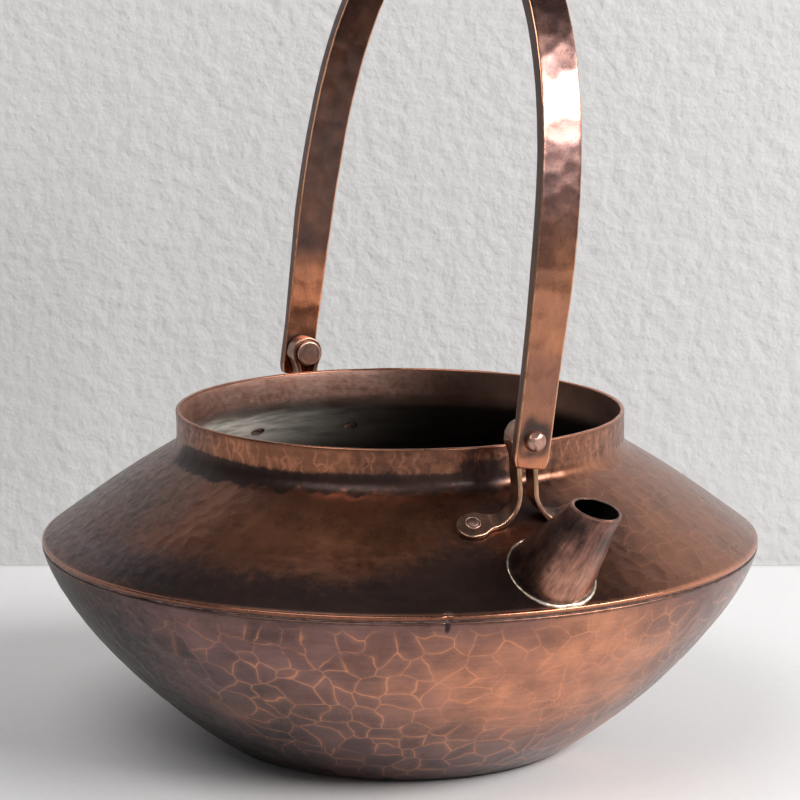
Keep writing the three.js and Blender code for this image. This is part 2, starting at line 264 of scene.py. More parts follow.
def grid_object(name, points, materials, closed=False):
    """A tube from points[station, side]. Its ends meet if closed, and are capped if not."""
    stations, sides = points.shape[:2]
    flat = points.reshape(-1, 3)
    faces = []
    for i in range(stations if closed else stations - 1):
        faces += ring_band(i * sides, ((i + 1) % stations) * sides, sides, sides)
    if not closed:
        flat = np.vstack([flat, points[0].mean(axis=0), points[-1].mean(axis=0)])
        j = np.arange(sides)
        k = (j + 1) % sides
        last = (stations - 1) * sides
        faces.append(np.stack([k, j, np.full(sides, len(flat) - 2)], axis=1))
        faces.append(np.stack([last + j, last + k, np.full(sides, len(flat) - 1)], axis=1))
    return mesh_object(name, flat, faces, materials)


def mark(piece, name, values, domain="POINT"):
    """Stores numbers or vectors on a mesh for its material. Points past the end of values get 0."""
    values = np.asarray(values, np.float32)
    kind = "FLOAT" if values.ndim == 1 else "FLOAT_VECTOR"
    stored = piece.data.attributes.new(name, kind, domain)
    full = np.zeros((len(stored.data),) + values.shape[1:], np.float32)
    count = min(len(full), len(values))
    full[:count] = values[:count]
    stored.data.foreach_set("value" if values.ndim == 1 else "vector", full.ravel())


def marks(piece, skip=0, **masks):
    """Stores each mask, one number per point, leaving out its first skip numbers."""
    for name, values in masks.items():
        mark(piece, name, np.ravel(values)[skip:])


def finish_piece(piece, body, slot, *nodes):
    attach(piece, body)
    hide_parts(*nodes)


# ---------- hammering ----------
class Blows:
    """Hammer blows: where each fell, how hard, and how light its facet is."""

    def __init__(self, places, seed, spread):
        rng = np.random.default_rng(seed)
        self.places = np.asarray(places, float)
        self.power = rng.normal(0, spread, len(self.places))
        self.tone = rng.uniform(0, 1, len(self.places))
        self.tree = kdtree.KDTree(len(self.places))
        for i, place in enumerate(self.places):
            self.tree.insert(place, i)
        self.tree.balance()

    def at(self, points):
        """The four blows that shape each point, the deepest first, and how far above each it lies."""
        near = np.array([[hit[1] for hit in self.tree.find_n(p, 5)] for p in points])
        rise = ((points[:, None] - self.places[near]) ** 2).sum(axis=2) - self.power[near]
        order = np.argsort(rise, axis=1)[:, :4]
        return np.take_along_axis(near, order, 1), np.take_along_axis(rise, order, 1)


def hammered(points, blows, size, seed, wander):
    """Pattern places, height from 0 at a facet's middle to about 1 at its edge, tone, and nearest blows."""
    offset = np.stack([waves(points, 13, seed + i) for i in range(3)], axis=1) * 2.2
    offset += np.stack([waves(points, 5.0, seed + 3 + i) for i in range(3)], axis=1) * 0.6
    pattern = points + offset * wander
    near, rise = blows.at(pattern)
    height = (rise[:, 0] + blows.power[near[:, 0]] * 0.5) / (size / 2) ** 2
    share = np.exp((rise[:, :1] - rise) / (size * 1.4))
    tone = (share * blows.tone[near]).sum(axis=1) / share.sum(axis=1)
    return pattern, height, tone, near


def dished(height, top):
    """How far a facet lies below the ridges round it, as a negative number."""
    return np.clip(height, -0.6, top) - top


def mark_facets(piece, pattern, near, blows):
    """Stores what a material needs to draw the ridges between the facets sharply."""
    mark(piece, "blow_at", pattern)
    chosen = near[np.minimum(first_corners(piece), len(near) - 1)]
    for column, letter in enumerate("abc"):
        mark(piece, f"blow_{letter}", blows.places[chosen[:, column]], "FACE")
    mark(piece, "blow_power", blows.power[chosen[:, :3]], "FACE")


def first_corners(piece):
    """The first corner point of each face."""
    starts = np.zeros(len(piece.data.polygons), np.int32)
    piece.data.polygons.foreach_get("loop_start", starts)
    corners = np.zeros(len(piece.data.loops), np.int32)
    piece.data.loops.foreach_get("vertex_index", corners)
    return corners[starts]


# ---------- materials ----------
class Nodes:
    """A material's node tree, with short calls to add to it."""

    def __init__(self, name):
        self.material = bpy.data.materials.new(name)
        self.material.use_nodes = True
        self.tree = self.material.node_tree
        self.shader = self.tree.nodes["Principled BSDF"]
        self.place = self.add("ShaderNodeTexCoord").outputs["Object"]

    def add(self, kind, **settings):
        node = self.tree.nodes.new(kind)
        for key, value in settings.items():
            setattr(node, key, value)
        return node

    def feed(self, socket, value):
        if isinstance(value, bpy.types.NodeSocket):
            self.tree.links.new(value, socket)
        elif isinstance(value, (int, float)):
            socket.default_value = value
        else:
            socket.default_value = (*value, 1.0)[: len(socket.default_value)]

    def math(self, operation, *values, clamp=False):
        node = self.add("ShaderNodeMath", operation=operation, use_clamp=clamp)
        for socket, value in zip(node.inputs, values):
            self.feed(socket, value)
        return node.outputs[0]

    def times(self, *values):
        product = values[0]
        for value in values[1:]:
            product = self.math("MULTIPLY", product, value)
        return product

    def vary(self, base, noise, gain, clamp=False):
        """base, changed by gain times what noise lies over a half."""
        return self.math("MULTIPLY_ADD", self.math("SUBTRACT", noise, 0.5), gain, base, clamp=clamp)

    def near(self, distance, reach):
        """1 where distance is 0, falling evenly to 0 at reach."""
        return self.math("SUBTRACT", 1.0, self.math("DIVIDE", distance, reach), clamp=True)

    def stored(self, name, out="Fac"):
        return self.add("ShaderNodeAttribute", attribute_name=name).outputs[out]

    def noise(self, wavelength, detail=2.0, stretch=None, turn=None, rough=0.5, shift=0.0):
        """Noise from 0 to 1. stretch scales the axes, after an optional turn of them."""
        place = self.place
        if stretch is not None:
            mapping = self.add("ShaderNodeMapping", vector_type="POINT")
            if turn is not None:
                mapping.vector_type = "TEXTURE"
                mapping.inputs["Rotation"].default_value = turn
                self.feed(mapping.inputs["Vector"], place)
                place = mapping.outputs[0]
                mapping = self.add("ShaderNodeMapping", vector_type="POINT")
            mapping.inputs["Scale"].default_value = stretch
            self.feed(mapping.inputs["Vector"], place)
            place = mapping.outputs[0]
        node = self.add("ShaderNodeTexNoise", noise_dimensions="4D")
        self.feed(node.inputs["Vector"], place)
        node.inputs["W"].default_value = shift
        node.inputs["Scale"].default_value = 1 / (wavelength * MM)
        node.inputs["Detail"].default_value = detail
        node.inputs["Roughness"].default_value = rough
        return node.outputs["Fac"]

    def specks(self, spacing, size, share):
        """1 on scattered dots: spacing and size in mm, and the share of the cells that have one."""
        node = self.add("ShaderNodeTexVoronoi", feature="F1")
        self.feed(node.inputs["Vector"], self.place)
        node.inputs["Scale"].default_value = 1 / (spacing * MM)
        near = self.ramp(node.outputs["Distance"], size / spacing, size / spacing * 0.5)
        red = self.add("ShaderNodeSeparateColor")
        self.feed(red.inputs[0], node.outputs["Color"])
        return self.times(near, self.math("LESS_THAN", red.outputs[0], share))

    def ramp(self, value, low, high, to_low=0.0, to_high=1.0):
        """Soft step of value between low and high. The ends may be given in falling order."""
        node = self.add("ShaderNodeMapRange", interpolation_type="SMOOTHSTEP")
        if low > high:
            low, high, to_low, to_high = high, low, to_high, to_low
        for socket, number in zip(node.inputs, (value, low, high, to_low, to_high)):
            self.feed(socket, number)
        return node.outputs[0]

    def mix(self, share, first, second, how="MIX"):
        node = self.add("ShaderNodeMix", data_type="RGBA", blend_type=how)
        self.feed(node.inputs["Factor"], share)
        self.feed(node.inputs[6], first)
        self.feed(node.inputs[7], second)
        return node.outputs[2]

    def bump(self, height, distance, under=None):
        node = self.add("ShaderNodeBump")
        node.inputs["Strength"].default_value = 1.0
        node.inputs["Distance"].default_value = distance * MM
        self.feed(node.inputs["Height"], height)
        if under is not None:
            self.feed(node.inputs["Normal"], under)
        return node.outputs[0]

    def facet_edge(self, spacing):
        """Distance in mm to the ridge between the hammer facets, from what mark_facets stored."""
        at = self.stored("blow_at", "Vector")
        power = self.add("ShaderNodeSeparateXYZ")
        self.feed(power.inputs[0], self.stored("blow_power", "Vector"))
        rises = []
        for letter, weight in zip("abc", power.outputs):
            away = self.add("ShaderNodeVectorMath", operation="DISTANCE")
            self.feed(away.inputs[0], at)
            self.feed(away.inputs[1], self.stored(f"blow_{letter}", "Vector"))
            rises.append(self.math("SUBTRACT", self.math("POWER", away.outputs["Value"], 2.0), weight))
        low = self.math("MINIMUM", rises[0], rises[1])
        high = self.math("MAXIMUM", rises[0], rises[1])
        second = self.math("MAXIMUM", low, self.math("MINIMUM", high, rises[2]))
        least = self.math("MINIMUM", low, rises[2])
        return self.math("DIVIDE", self.math("SUBTRACT", second, least), 2.0 * spacing)

    def surface(self, color, roughness, normal, metallic=1.0, **others):
        """Gives the shader its inputs, and returns the finished material."""
        values = {"Base_Color": color, "Roughness": roughness, "Normal": normal, "Metallic": metallic}
        for name, value in {**values, **others}.items():
            self.feed(self.shader.inputs[name.replace("_", " ")], value)
        return self.material


BLOOM = (0.1, 0.078, 0.095)
# Near-black brown, for painted shade and for the real black patina fringe round the neck's foot.
SHADE_AND_SOOT = (0.022, 0.016, 0.016)


def copper(name, dark, mid, warm, line, roughness, coat, spacing=0.0, line_width=0.0, facet_contrast=0.4,
           grain=(1, 1, 1), grain_turn=None, streaks=0.25, mottle=16.0, specks=0.0, soot_edge=0.9):
    """Patinated copper. Its masks warm, bloom, edge, lines and tone come from the mesh, with a dark mask
    that is mostly painted shade plus the real black patina fringe round the neck's foot; edge also paints a
    highlight on the right of the shoulder's lip.
    """
    n = Nodes(name)
    patches = n.noise(mottle, detail=3.0, rough=0.55)
    fine = n.noise(1.6, detail=3.0, rough=0.65)
    brushed = n.noise(1.1, stretch=grain, turn=grain_turn, rough=0.6)
    wide_brush = n.noise(4.0, stretch=grain, turn=grain_turn, shift=3.0)

    light = n.math("MULTIPLY_ADD", patches, 1.5, -0.25)
    light = n.vary(light, n.stored("tone"), facet_contrast)
    light = n.vary(light, fine, 0.35)
    light = n.vary(light, wide_brush, streaks * 2, clamp=True)
    color = n.mix(light, dark, mid)
    heat = n.ramp(n.noise(9.0, detail=3.0, shift=7.0), 0.25, 0.75, 0.45, 1.0)
    color = n.mix(n.times(n.stored("warm"), heat), color, warm)
    color = n.mix(n.stored("bloom"), color, BLOOM)
    if spacing:
        edge = n.facet_edge(spacing)
        reach = n.math("MULTIPLY_ADD", n.noise(5.0, shift=11.0), line_width * 2.2, line_width * 0.1)
        fade = n.times(n.ramp(n.noise(13.0, detail=3.0, shift=5.0), 0.28, 0.52), n.stored("lines"))
        color = n.mix(n.times(n.near(edge, 1.3), 0.18, fade), color, warm)
        color = n.mix(n.times(n.near(edge, reach), 0.6, fade), color, line)
    color = n.mix(1.0, color, n.vary(1.0, brushed, streaks * 1.6), "MULTIPLY")
    ragged = n.noise(2.6, detail=4.0, rough=0.7)
    # The dark mask darkens and roughens the copper: mostly painted shade, with the real black fringe at the
    # neck's foot.
    soot = n.ramp(n.vary(n.stored("soot"), ragged, soot_edge), 0.2, 0.8)
    color = n.mix(n.times(soot, 0.9), color, SHADE_AND_SOOT)
    # Lighter colour on rubbed edges, and a painted highlight on the right of the shoulder's lip.
    worn_and_highlit = n.times(n.stored("edge"), n.ramp(fine, 0.2, 0.6, 0.55, 1.0))
    color = n.mix(worn_and_highlit, color, line)
    if specks:
        color = n.mix(n.specks(3.1, 0.22, specks), color, (0.75, 0.68, 0.6))

    gloss = n.vary(n.vary(roughness, patches, 0.16), fine, 0.12)
    gloss = n.math("MULTIPLY_ADD", soot, 0.22, gloss)
    gloss = n.math("MULTIPLY_ADD", worn_and_highlit, -0.08, gloss)
    relief = n.bump(fine, 0.03, under=n.bump(brushed, 0.02))
    return n.surface(color, gloss, relief, Coat_Weight=coat, Coat_Roughness=0.25, Coat_IOR=1.6)


def tinned(name):
    """Inside of the can: copper at the neck, and dark tin below, made pale only in painted pools of light
    where the lamp shines in through the mouth.
    """
    n = Nodes(name)
    strokes = n.noise(5.0, detail=4.0, stretch=(0.35, 0.35, 1.6), rough=0.6)
    fine = n.noise(1.4, detail=3.0)
    # Painted light: pale tin only in the two masked pools of light.
    bright = n.times(n.stored("tin"), n.ramp(strokes, 0.3, 0.6, 0.35, 1.0))
    bright = n.math("MAXIMUM", bright, n.stored("matt"))
    old_tin = n.mix(strokes, (0.03, 0.022, 0.018), (0.09, 0.075, 0.065))
    color = n.mix(bright, old_tin, (0.9, 0.86, 0.8))
    copper_brown = n.mix(n.noise(8.0, detail=3.0), (0.42, 0.15, 0.085), (0.92, 0.62, 0.52))
    color = n.mix(n.stored("bare"), color, copper_brown)
    color = n.mix(n.stored("shaded"), color, (0.03, 0.018, 0.014))
    gloss = n.math("MULTIPLY_ADD", fine, 0.25, 0.34)
    metal = n.math("MULTIPLY_ADD", n.stored("matt"), -0.9, 1.0)
    return n.surface(color, gloss, n.bump(strokes, 0.12, under=n.bump(fine, 0.03)), metal)


def solder(name, dark, light):
    n = Nodes(name)
    patches = n.noise(2.2, detail=3.0)
    color = n.mix(n.ramp(patches, 0.35, 0.7), dark, light)
    return n.surface(color, n.ramp(patches, 0.3, 0.8, 0.45, 0.25), n.bump(n.noise(0.7), 0.05))


BOWL_COPPER = copper(
    "bowl_copper", (0.045, 0.026, 0.028), (0.23, 0.125, 0.115), (0.74, 0.32, 0.18), (0.85, 0.35, 0.17),
    spacing=7.0, grain=(0.12, 0.12, 1.3), roughness=0.29, line_width=0.22, coat=0.2, facet_contrast=0.5,
)
SHOULDER_COPPER = copper(
    "shoulder_copper", (0.05, 0.024, 0.018), (0.25, 0.1, 0.058), (0.5, 0.2, 0.1), (0.68, 0.28, 0.16),
    spacing=6.0, grain=(0.12, 0.12, 1.3), roughness=0.29, specks=0.012, line_width=0.26,
    facet_contrast=0.12, coat=0.14,
)
SPOUT_COPPER = copper(
    "spout_copper", (0.04, 0.02, 0.017), (0.34, 0.155, 0.115), (0.5, 0.25, 0.17), (0.6, 0.3, 0.2),
    grain=(0.13, 1.2, 1.2), grain_turn=(0.0, -SPOUT_RISE, 0.0), roughness=0.33, streaks=1.2, mottle=9.0,
    coat=0.15,
)
STRAP_COPPER = copper(
    "strap_copper", (0.14, 0.06, 0.045), (0.44, 0.175, 0.085), (0.85, 0.3, 0.14), (0.8, 0.4, 0.22),
    grain=(1.0, 1.0, 0.2), roughness=0.27, mottle=14.0, facet_contrast=0.15, coat=0.35, soot_edge=0.2,
)
BRACKET_COPPER = copper(
    "bracket_copper", (0.14, 0.085, 0.065), (0.64, 0.35, 0.23), (0.75, 0.45, 0.22), (0.8, 0.48, 0.33),
    roughness=0.3, mottle=7.0, coat=0.1,
)
RIVET_COPPER = copper(
    "rivet_copper", (0.34, 0.19, 0.15), (0.78, 0.45, 0.34), (0.7, 0.4, 0.25), (0.85, 0.52, 0.4),
    roughness=0.36, mottle=3.5, coat=0.1,
)
TINNED = tinned("tinned_inside")
SOLDER = solder("solder", (0.36, 0.26, 0.18), (0.95, 0.84, 0.7))
SEAM_SOLDER = solder("seam_solder", (0.12, 0.09, 0.09), (0.3, 0.22, 0.2))


# ---------- body ----------
BOWL_WALL = bezier([FOOT_EDGE, BOWL_PULL_LOW, BOWL_PULL_HIGH, (EQUATOR_R, BOWL_TOP_Z - 0.3)], 200)
SHOULDER_LINE = joined(
    bezier([SHOULDER_FOOT, SHOULDER_PULL, SHOULDER_TOP], 120),
    bezier([SHOULDER_TOP, (NECK_R, SHOULDER_TOP[1] + 1.6), (NECK_R, NECK_FILLET_TOP_Z)], 30),
)


def shoulder_z(radius):
    """Height of the shoulder's face at a distance from the axis. Past its foot it runs straight on."""
    foot, after = SHOULDER_LINE[0], SHOULDER_LINE[6]
    beyond = foot + (foot - after) * 8
    line = np.vstack([beyond, SHOULDER_LINE])[::-1]
    return np.interp(radius, line[:, 0], line[:, 1])


def shoulder_place(x, y):
    """The point of the shoulder over (x, y), and the direction straight out of it."""
    radius = np.hypot(x, y)
    slope = (shoulder_z(radius + 1) - shoulder_z(radius - 1)) / 2
    out = unit(np.stack([-slope * x / radius, -slope * y / radius, np.ones_like(radius)], axis=-1))
    return np.stack([x, y, shoulder_z(radius)], axis=-1), out


def spun(line, columns):
    """Rings of points from an outline of [radius, height] points."""
    turn = np.arange(columns) / columns * 2 * np.pi
    return np.stack([
        line[:, :1] * np.cos(turn), line[:, :1] * np.sin(turn), np.repeat(line[:, 1:2], columns, axis=1),
    ], axis=-1)


def courses(line, spacing, seed, jitter=0.32):
    """Places of hammer blows in rings along an outline."""
    rng = np.random.default_rng(seed)
    places = []
    for radius, height in evened(line, spacing):
        count = max(int(round(2 * np.pi * radius / (spacing * 1.08))), 1)
        turn = (np.arange(count) + rng.uniform() + rng.uniform(-jitter, jitter, count)) / count * 2 * np.pi
        slide = rng.uniform(-jitter, jitter, count) * spacing * 0.7
        reach = radius + slide
        places.append(np.stack([reach * np.cos(turn), reach * np.sin(turn), height + slide], axis=1))
    return np.vstack(places)


def shell_object(name, outer_rings, inner_rings, materials, closed):
    """A sheet body from fine outer rings and coarser inner ones. Closed ones have no middle."""
    rings = [*outer_rings, *inner_rings]
    starts = np.r_[0, np.cumsum([len(r) for r in rings])]
    faces, inside = [], []
    pairs = list(zip(range(len(rings) - 1), range(1, len(rings))))
    if closed:
        pairs.append((len(rings) - 1, 0))
    for i, j in pairs:
        if len(rings[i]) == 1 or len(rings[j]) == 1:
            tip, ring = (i, j) if len(rings[i]) == 1 else (j, i)
            k = np.arange(len(rings[ring]))
            around = [starts[ring] + k, starts[ring] + (k + 1) % len(k)]
            if tip == j:
                around.reverse()
            band = [np.stack([np.full(len(k), starts[tip]), around[1], around[0]], axis=1)]
        else:
            band = ring_band(starts[i], starts[j], len(rings[i]), len(rings[j]))
        faces += band
        within = min(i, j) >= len(outer_rings) - 1 or (closed and (i, j) == pairs[-1])
        inside += [np.full(len(f), int(within)) for f in band]
    return mesh_object(name, np.vstack(rings), faces, materials, np.concatenate(inside))


def inset(line, distance):
    return line - line_normals(line) * distance


def across_nick(points):
    """How far round the lip each point lies from the nick in it."""
    return np.radians(degrees_from(turn_of(points), NICK_TURN)) * EQUATOR_R


def pushed(points, line, depth):
    """Points of a spun outline, moved out of its face by depth and then pressed in at the nick."""
    points = points + spun(line_normals(line), COLUMNS).reshape(-1, 3) * depth[:, None]
    z = points[:, 2]
    deep = 0.7 * hump(across_nick(points), 0, 0.6) * smooth(z, BOWL_TOP_Z - 3.2, BOWL_TOP_Z - 1.0)
    deep *= smooth(z, LIP_TOP_Z + 1.0, LIP_TOP_Z)
    return points - unit(points * [1, 1, 0]) * deep[:, None]


def bowl_masks(points, z):
    """Masks of the bowl from its points, and from their heights before they were hammered."""
    turn = turn_of(points)
    warm = hump_at(turn, 3, 27) * hump(z, 35, 17) * 1.15 + 0.5 * smooth(waves(points, 60, 71), 0.35, 1.0)
    lit = degrees_from(turn, -22)
    lines = 0.2 + 0.8 * smooth(lit, -48, -12) * smooth(lit, 70, 36)
    lines = np.maximum(lines, smooth(waves(points, 70, 72), 0.1, 0.7))
    # Painted shade on the bowl's left, away from the lamps, and on its top edge under the lip, dulling its
    # highlight; and darker towards the foot.
    front = degrees_from(turn, -24)
    soot = 0.75 * smooth(front, -22, -62) * smooth(front, -170, -130) + 0.25 * smooth(z, 18, 4)
    soot = np.maximum(soot, 0.5 * smooth(z, BOWL_TOP_Z - 1.6, BOWL_TOP_Z - 0.6))
    # Painted shade in the nick.
    nick = hump(across_nick(points), 0, 0.8) * smooth(z, BOWL_TOP_Z - 4, BOWL_TOP_Z - 2)
    return {
        "soot": np.maximum(soot, nick),
        "warm": np.clip(warm, 0, 1),
        "lines": lines * smooth(z, BOWL_TOP_Z - 1, BOWL_TOP_Z - 6),
        "edge": hump(z, BOWL_TOP_Z - 0.35, 0.4) * 0.1,
    }


def lower_bowl():
    edge = 0.35
    flat = evened(np.array([(0.0, 0.0), (FOOT_FLAT_R, 0.0)]), 3.1)
    foot = bezier([(FOOT_FLAT_R, 0), (FOOT_FLAT_R + 2.1, 0), FOOT_EDGE], 6)
    wall = evened(BOWL_WALL, 0.82)
    lip = arc((EQUATOR_R - edge, BOWL_TOP_Z - edge), edge, 0, 90, 5)
    top = np.array([(EQUATOR_R - SHEET + 0.2, BOWL_TOP_Z), (EQUATOR_R - SHEET, BOWL_TOP_Z - 0.2)])
    line = joined(flat, foot, wall, lip, top)
    inner = inset(joined(foot[-1:], evened(BOWL_WALL, 4)), SHEET)[::-1]
    inner = inner[inner[:, 1] > SHEET]

    points = spun(line, COLUMNS).reshape(-1, 3)
    z = points[:, 2]
    blows = Blows(courses(joined(flat, foot, wall), BOWL_FACET, seed=11, jitter=0.42), seed=12, spread=7)
    pattern, height, tone, near = hammered(points, blows, BOWL_FACET, seed=40, wander=0.85)
    fade = smooth(z, BOWL_TOP_Z - 1.5, BOWL_TOP_Z - 7) * smooth(radius_of(points), 44, 54)
    rough_body = 0.12 * waves(points, 45, 31) - 0.12
    depth = dished(height, 1.4) * 0.085 * fade + rough_body * smooth(z, 1.5, 12)
    depth *= smooth(z, BOWL_TOP_Z + 0.1, BOWL_TOP_Z - 1.5)
    points = pushed(points, line, depth)

    outer_rings = list(points.reshape(len(line), COLUMNS, 3))
    outer_rings[0] = outer_rings[0][:1]
    inner_rings = [*spun(inner, INNER_COLUMNS), np.array([[0.0, 0.0, SHEET]])]
    piece = shell_object("bowl_shell", outer_rings, inner_rings, [BOWL_COPPER, TINNED], closed=False)
    skip = COLUMNS - 1  # the middle of the foot is one point and not a ring
    marks(piece, skip, **bowl_masks(points, z), tone=tone)
    mark_facets(piece, pattern[skip:], near[skip:], blows)
    # Painted pool of light on the left of the bowl's inside, where the lamp shines in through the mouth:
    # lighter and less metallic.
    matt = hump_at(turn_of(np.vstack(inner_rings)), 204, 36)
    marks(piece, matt=np.r_[np.zeros(len(points) - skip), matt])
    finish_piece(piece, "can", "bowl_copper", "lower_bowl")


def shoulder_outlines():
    """Outline of the upper body outside, from the seam over the rim, and the inside back to the seam."""
    edge, lip_edge, rim_edge = 0.3, 0.45, 0.5
    lip_pull = (EQUATOR_R - 0.6, LIP_TOP_Z + 0.05)
    lip = joined(
        np.array([(EQUATOR_R - SHEET, LIP_FOOT_Z), (EQUATOR_R - edge, LIP_FOOT_Z)]),
        arc((EQUATOR_R - edge, LIP_FOOT_Z + edge), edge, -90, 0, 4),
        arc((EQUATOR_R - lip_edge, LIP_TOP_Z - lip_edge), lip_edge, 0, 75, 5),
        bezier([(EQUATOR_R - 0.35, LIP_TOP_Z - 0.02), lip_pull, SHOULDER_FOOT], 3),
    )
    neck = evened(np.array([(NECK_R, NECK_FILLET_TOP_Z), (NECK_R, RIM_Z - rim_edge)]), 0.7)
    rim = joined(
        arc((NECK_R - rim_edge, RIM_Z - rim_edge), rim_edge, 0, 90, 5),
        arc((NECK_R - SHEET + rim_edge, RIM_Z - rim_edge), rim_edge, 90, 180, 5),
    )
    inside = inset(evened(SHOULDER_LINE, 2.5), SHEET)[1:]
    ends = np.array([(EQUATOR_R - SHEET, LIP_FOOT_Z + 0.9), (NECK_R - SHEET, RIM_Z - 2)])
    inner_line = joined(ends[:1], inside, ends[1:])[::-1]
    return joined(lip, evened(SHOULDER_LINE, 0.62), neck, rim), inner_line


def shoulder_masks(points, z):
    """Masks of the upper body from its points, and from their heights before they were hammered."""
    turn, radius = turn_of(points), radius_of(points)
    front = degrees_from(turn, -24)
    along = degrees_from(turn, -71)
    ragged = 2.2 * waves(points, 8, 81) + 1.0 * waves(points, 2.6, 82)
    # A real black patina fringe round the neck's foot, carried on toward the bracket as painted shade over
    # the fillet's highlight.
    fringe = smooth(radius + ragged * 0.5, 66.2, 63.8) * smooth(z, 88.0, 85.8) * smooth(along, -30, -18)
    fringe *= (1 - 0.2 * smooth(along, 15, 30)) * smooth(along, 80, 66)
    # Painted shadow beside the spout's foot, and painted shade round the bracket's feet.
    by_spout = hump_at(turn, -13, 12) * smooth(radius, 66, 78) * 0.6
    by_bracket = hump_at(turn, 1, 15) * hump(radius, 72, 6) * 0.8
    # Painted shade over the shoulder's left side, away from the lamps, and darker low on its front-left.
    bottom = smooth(radius, 77, 97) * hump_at(turn, -45, 48) * 0.85
    left = 0.45 * smooth(front, -30, -60) * smooth(front, -170, -130)
    # Painted shade on the neck beside the bracket, and darker over the neck's right half and back.
    on_neck = np.maximum(0.9 * hump_at(turn, -5, 8) * smooth(z, 93, 89), 0.42 * smooth(front, -32, -8))
    soot = fringe * 0.9 + np.maximum(by_spout, by_bracket) + np.maximum(bottom, left)
    soot += on_neck * smooth(z, 84, 87)
    soot *= smooth(z, LIP_TOP_Z - 0.2, LIP_TOP_Z + 0.4)
    # Painted shade on the lip's side, except on the right, dulling its highlight.
    soot += 0.5 * smooth(z, LIP_TOP_Z, LIP_TOP_Z - 0.5) * smooth(front, 28, 8)
    warm = 0.85 * hump_at(turn, -36, 26) * hump(radius, 77, 10)
    warm += 0.45 * smooth(front, 32, 60) * smooth(front, 130, 90)
    neck_heat = 0.15 + 0.7 * hump_at(turn, -80, 26) + 0.3 * waves(points, 20, 83)
    warm += 0.55 * smooth(z, 84.5, 86.4) * neck_heat
    lines = 0.1 + 0.25 * smooth(front, 30, 50) * smooth(front, 130, 100) + 0.75 * smooth(z, 84.5, 87)
    lines *= smooth(z, RIM_Z - 0.4, RIM_Z - 1.8)
    lip_edge = hump(z, LIP_TOP_Z - 0.3, 0.5) * smooth(z, LIP_TOP_Z + 0.8, LIP_TOP_Z)
    return {
        "soot": np.clip(soot, 0, 1),
        "bloom": hump(radius, 94, 5) * hump_at(turn, -80, 22) * 0.75,
        "warm": np.clip(warm, 0, 1),
        "lines": np.clip(lines, 0, 1),
        # Edge wear on the lip and rim, made lighter on the right as a painted highlight.
        "edge": np.maximum(lip_edge, hump(z, RIM_Z, 0.3)) * (0.4 + 0.5 * smooth(front, 8, 28)),
    }


def cut_spout_hole(piece):
    """Opens the hole that lets water from the can into the spout."""
    hole = spout_rings(np.array([-50.0, -22.0]), -2.4, 48)
    cutter = grid_object("spout_hole", hole, [TINNED])
    cut = piece.modifiers.new("spout_hole", "BOOLEAN")
    cut.operation = "DIFFERENCE"
    cut.solver = "MANIFOLD"
    cut.object = cutter
    depsgraph = bpy.context.evaluated_depsgraph_get()
    opened = bpy.data.meshes.new_from_object(piece.evaluated_get(depsgraph), depsgraph=depsgraph)
    piece.modifiers.clear()
    piece.data = opened
    bpy.data.objects.remove(cutter)


def upper_body():
    line, inner_line = shoulder_outlines()
    points = spun(line, COLUMNS).reshape(-1, 3)
    z = points[:, 2].copy()
    on_neck = smooth(z, SHOULDER_TOP[1], NECK_FILLET_TOP_Z)
    flattened = points.copy()
    flattened[:, 2] = np.where(z > 84, 84 + (z - 84) * 0.45, z)
    crooked = [waves(points, 4.0, seed) for seed in (35, 36, 37)]
    flattened += np.stack(crooked, axis=1) * on_neck[:, None] * 0.9
    slope = evened(SHOULDER_LINE, 0.62)
    rows = [courses(slope[slope[:, 1] < 83.0], SHOULDER_FACET, seed=21)]
    for i, level in enumerate((84.9, 87.7)):
        neck_row = np.array([(NECK_R, level), (NECK_R, level + 0.1)])
        rows.append(courses(neck_row, SHOULDER_FACET, seed=23 + i))
    blows = Blows(np.vstack(rows), seed=22, spread=4)
    pattern, height, tone, near = hammered(flattened, blows, SHOULDER_FACET, seed=50, wander=0.8)
    fade = smooth(z, LIP_TOP_Z + 0.3, LIP_TOP_Z + 3) * smooth(z, RIM_Z - 0.2, RIM_Z - 3.5)
    rough_body = 0.1 * waves(points, 38, 33) - 0.1
    depth = dished(height, 1.4) * (0.06 - 0.02 * on_neck) * fade
    depth += rough_body * smooth(z, LIP_TOP_Z, LIP_TOP_Z + 5) * smooth(z, RIM_Z, RIM_Z - 5)
    depth += 0.05 * waves(points, 9, 34) * smooth(z, RIM_Z - 3, RIM_Z) * 0.6
    points = pushed(points, line, depth)

    outer_rings = points.reshape(len(line), COLUMNS, 3)
    inner_rings = spun(inner_line, INNER_COLUMNS)
    piece = shell_object("shoulder_shell", outer_rings, inner_rings, [SHOULDER_COPPER, TINNED], closed=True)
    marks(piece, **shoulder_masks(points, z), tone=tone)
    mark_facets(piece, pattern, near, blows)
    inner_points = inner_rings.reshape(-1, 3)
    # Painted pool of light on the tin inside the shoulder, on its left as seen from the camera, where the
    # lamp shines in through the mouth.
    tin = smooth(inner_points[:, 2], 62, 74) * hump_at(turn_of(inner_points), 203, 30)
    bare = smooth(inner_points[:, 2], 83.5, 84.6)
    around = degrees_from(turn_of(np.vstack([points, inner_points])), 168)
    marks(
        piece, tin=np.r_[np.zeros(len(points)), tin], bare=np.r_[np.ones(len(points)), bare],
        shaded=0.8 * smooth(around, 0, -30) * smooth(around, -175, -130),
    )
    cut_spout_hole(piece)
    finish_piece(piece, "can", "shoulder_copper", "upper_body")


def bead_points(centre, size, across, out):
    """Points of a round bead along a ring of places."""
    section = full_turn(12)[:, None]
    spread = across[:, None] * np.cos(section) + out[:, None] * np.sin(section)
    return centre[:, None] + size[:, None, None] * spread


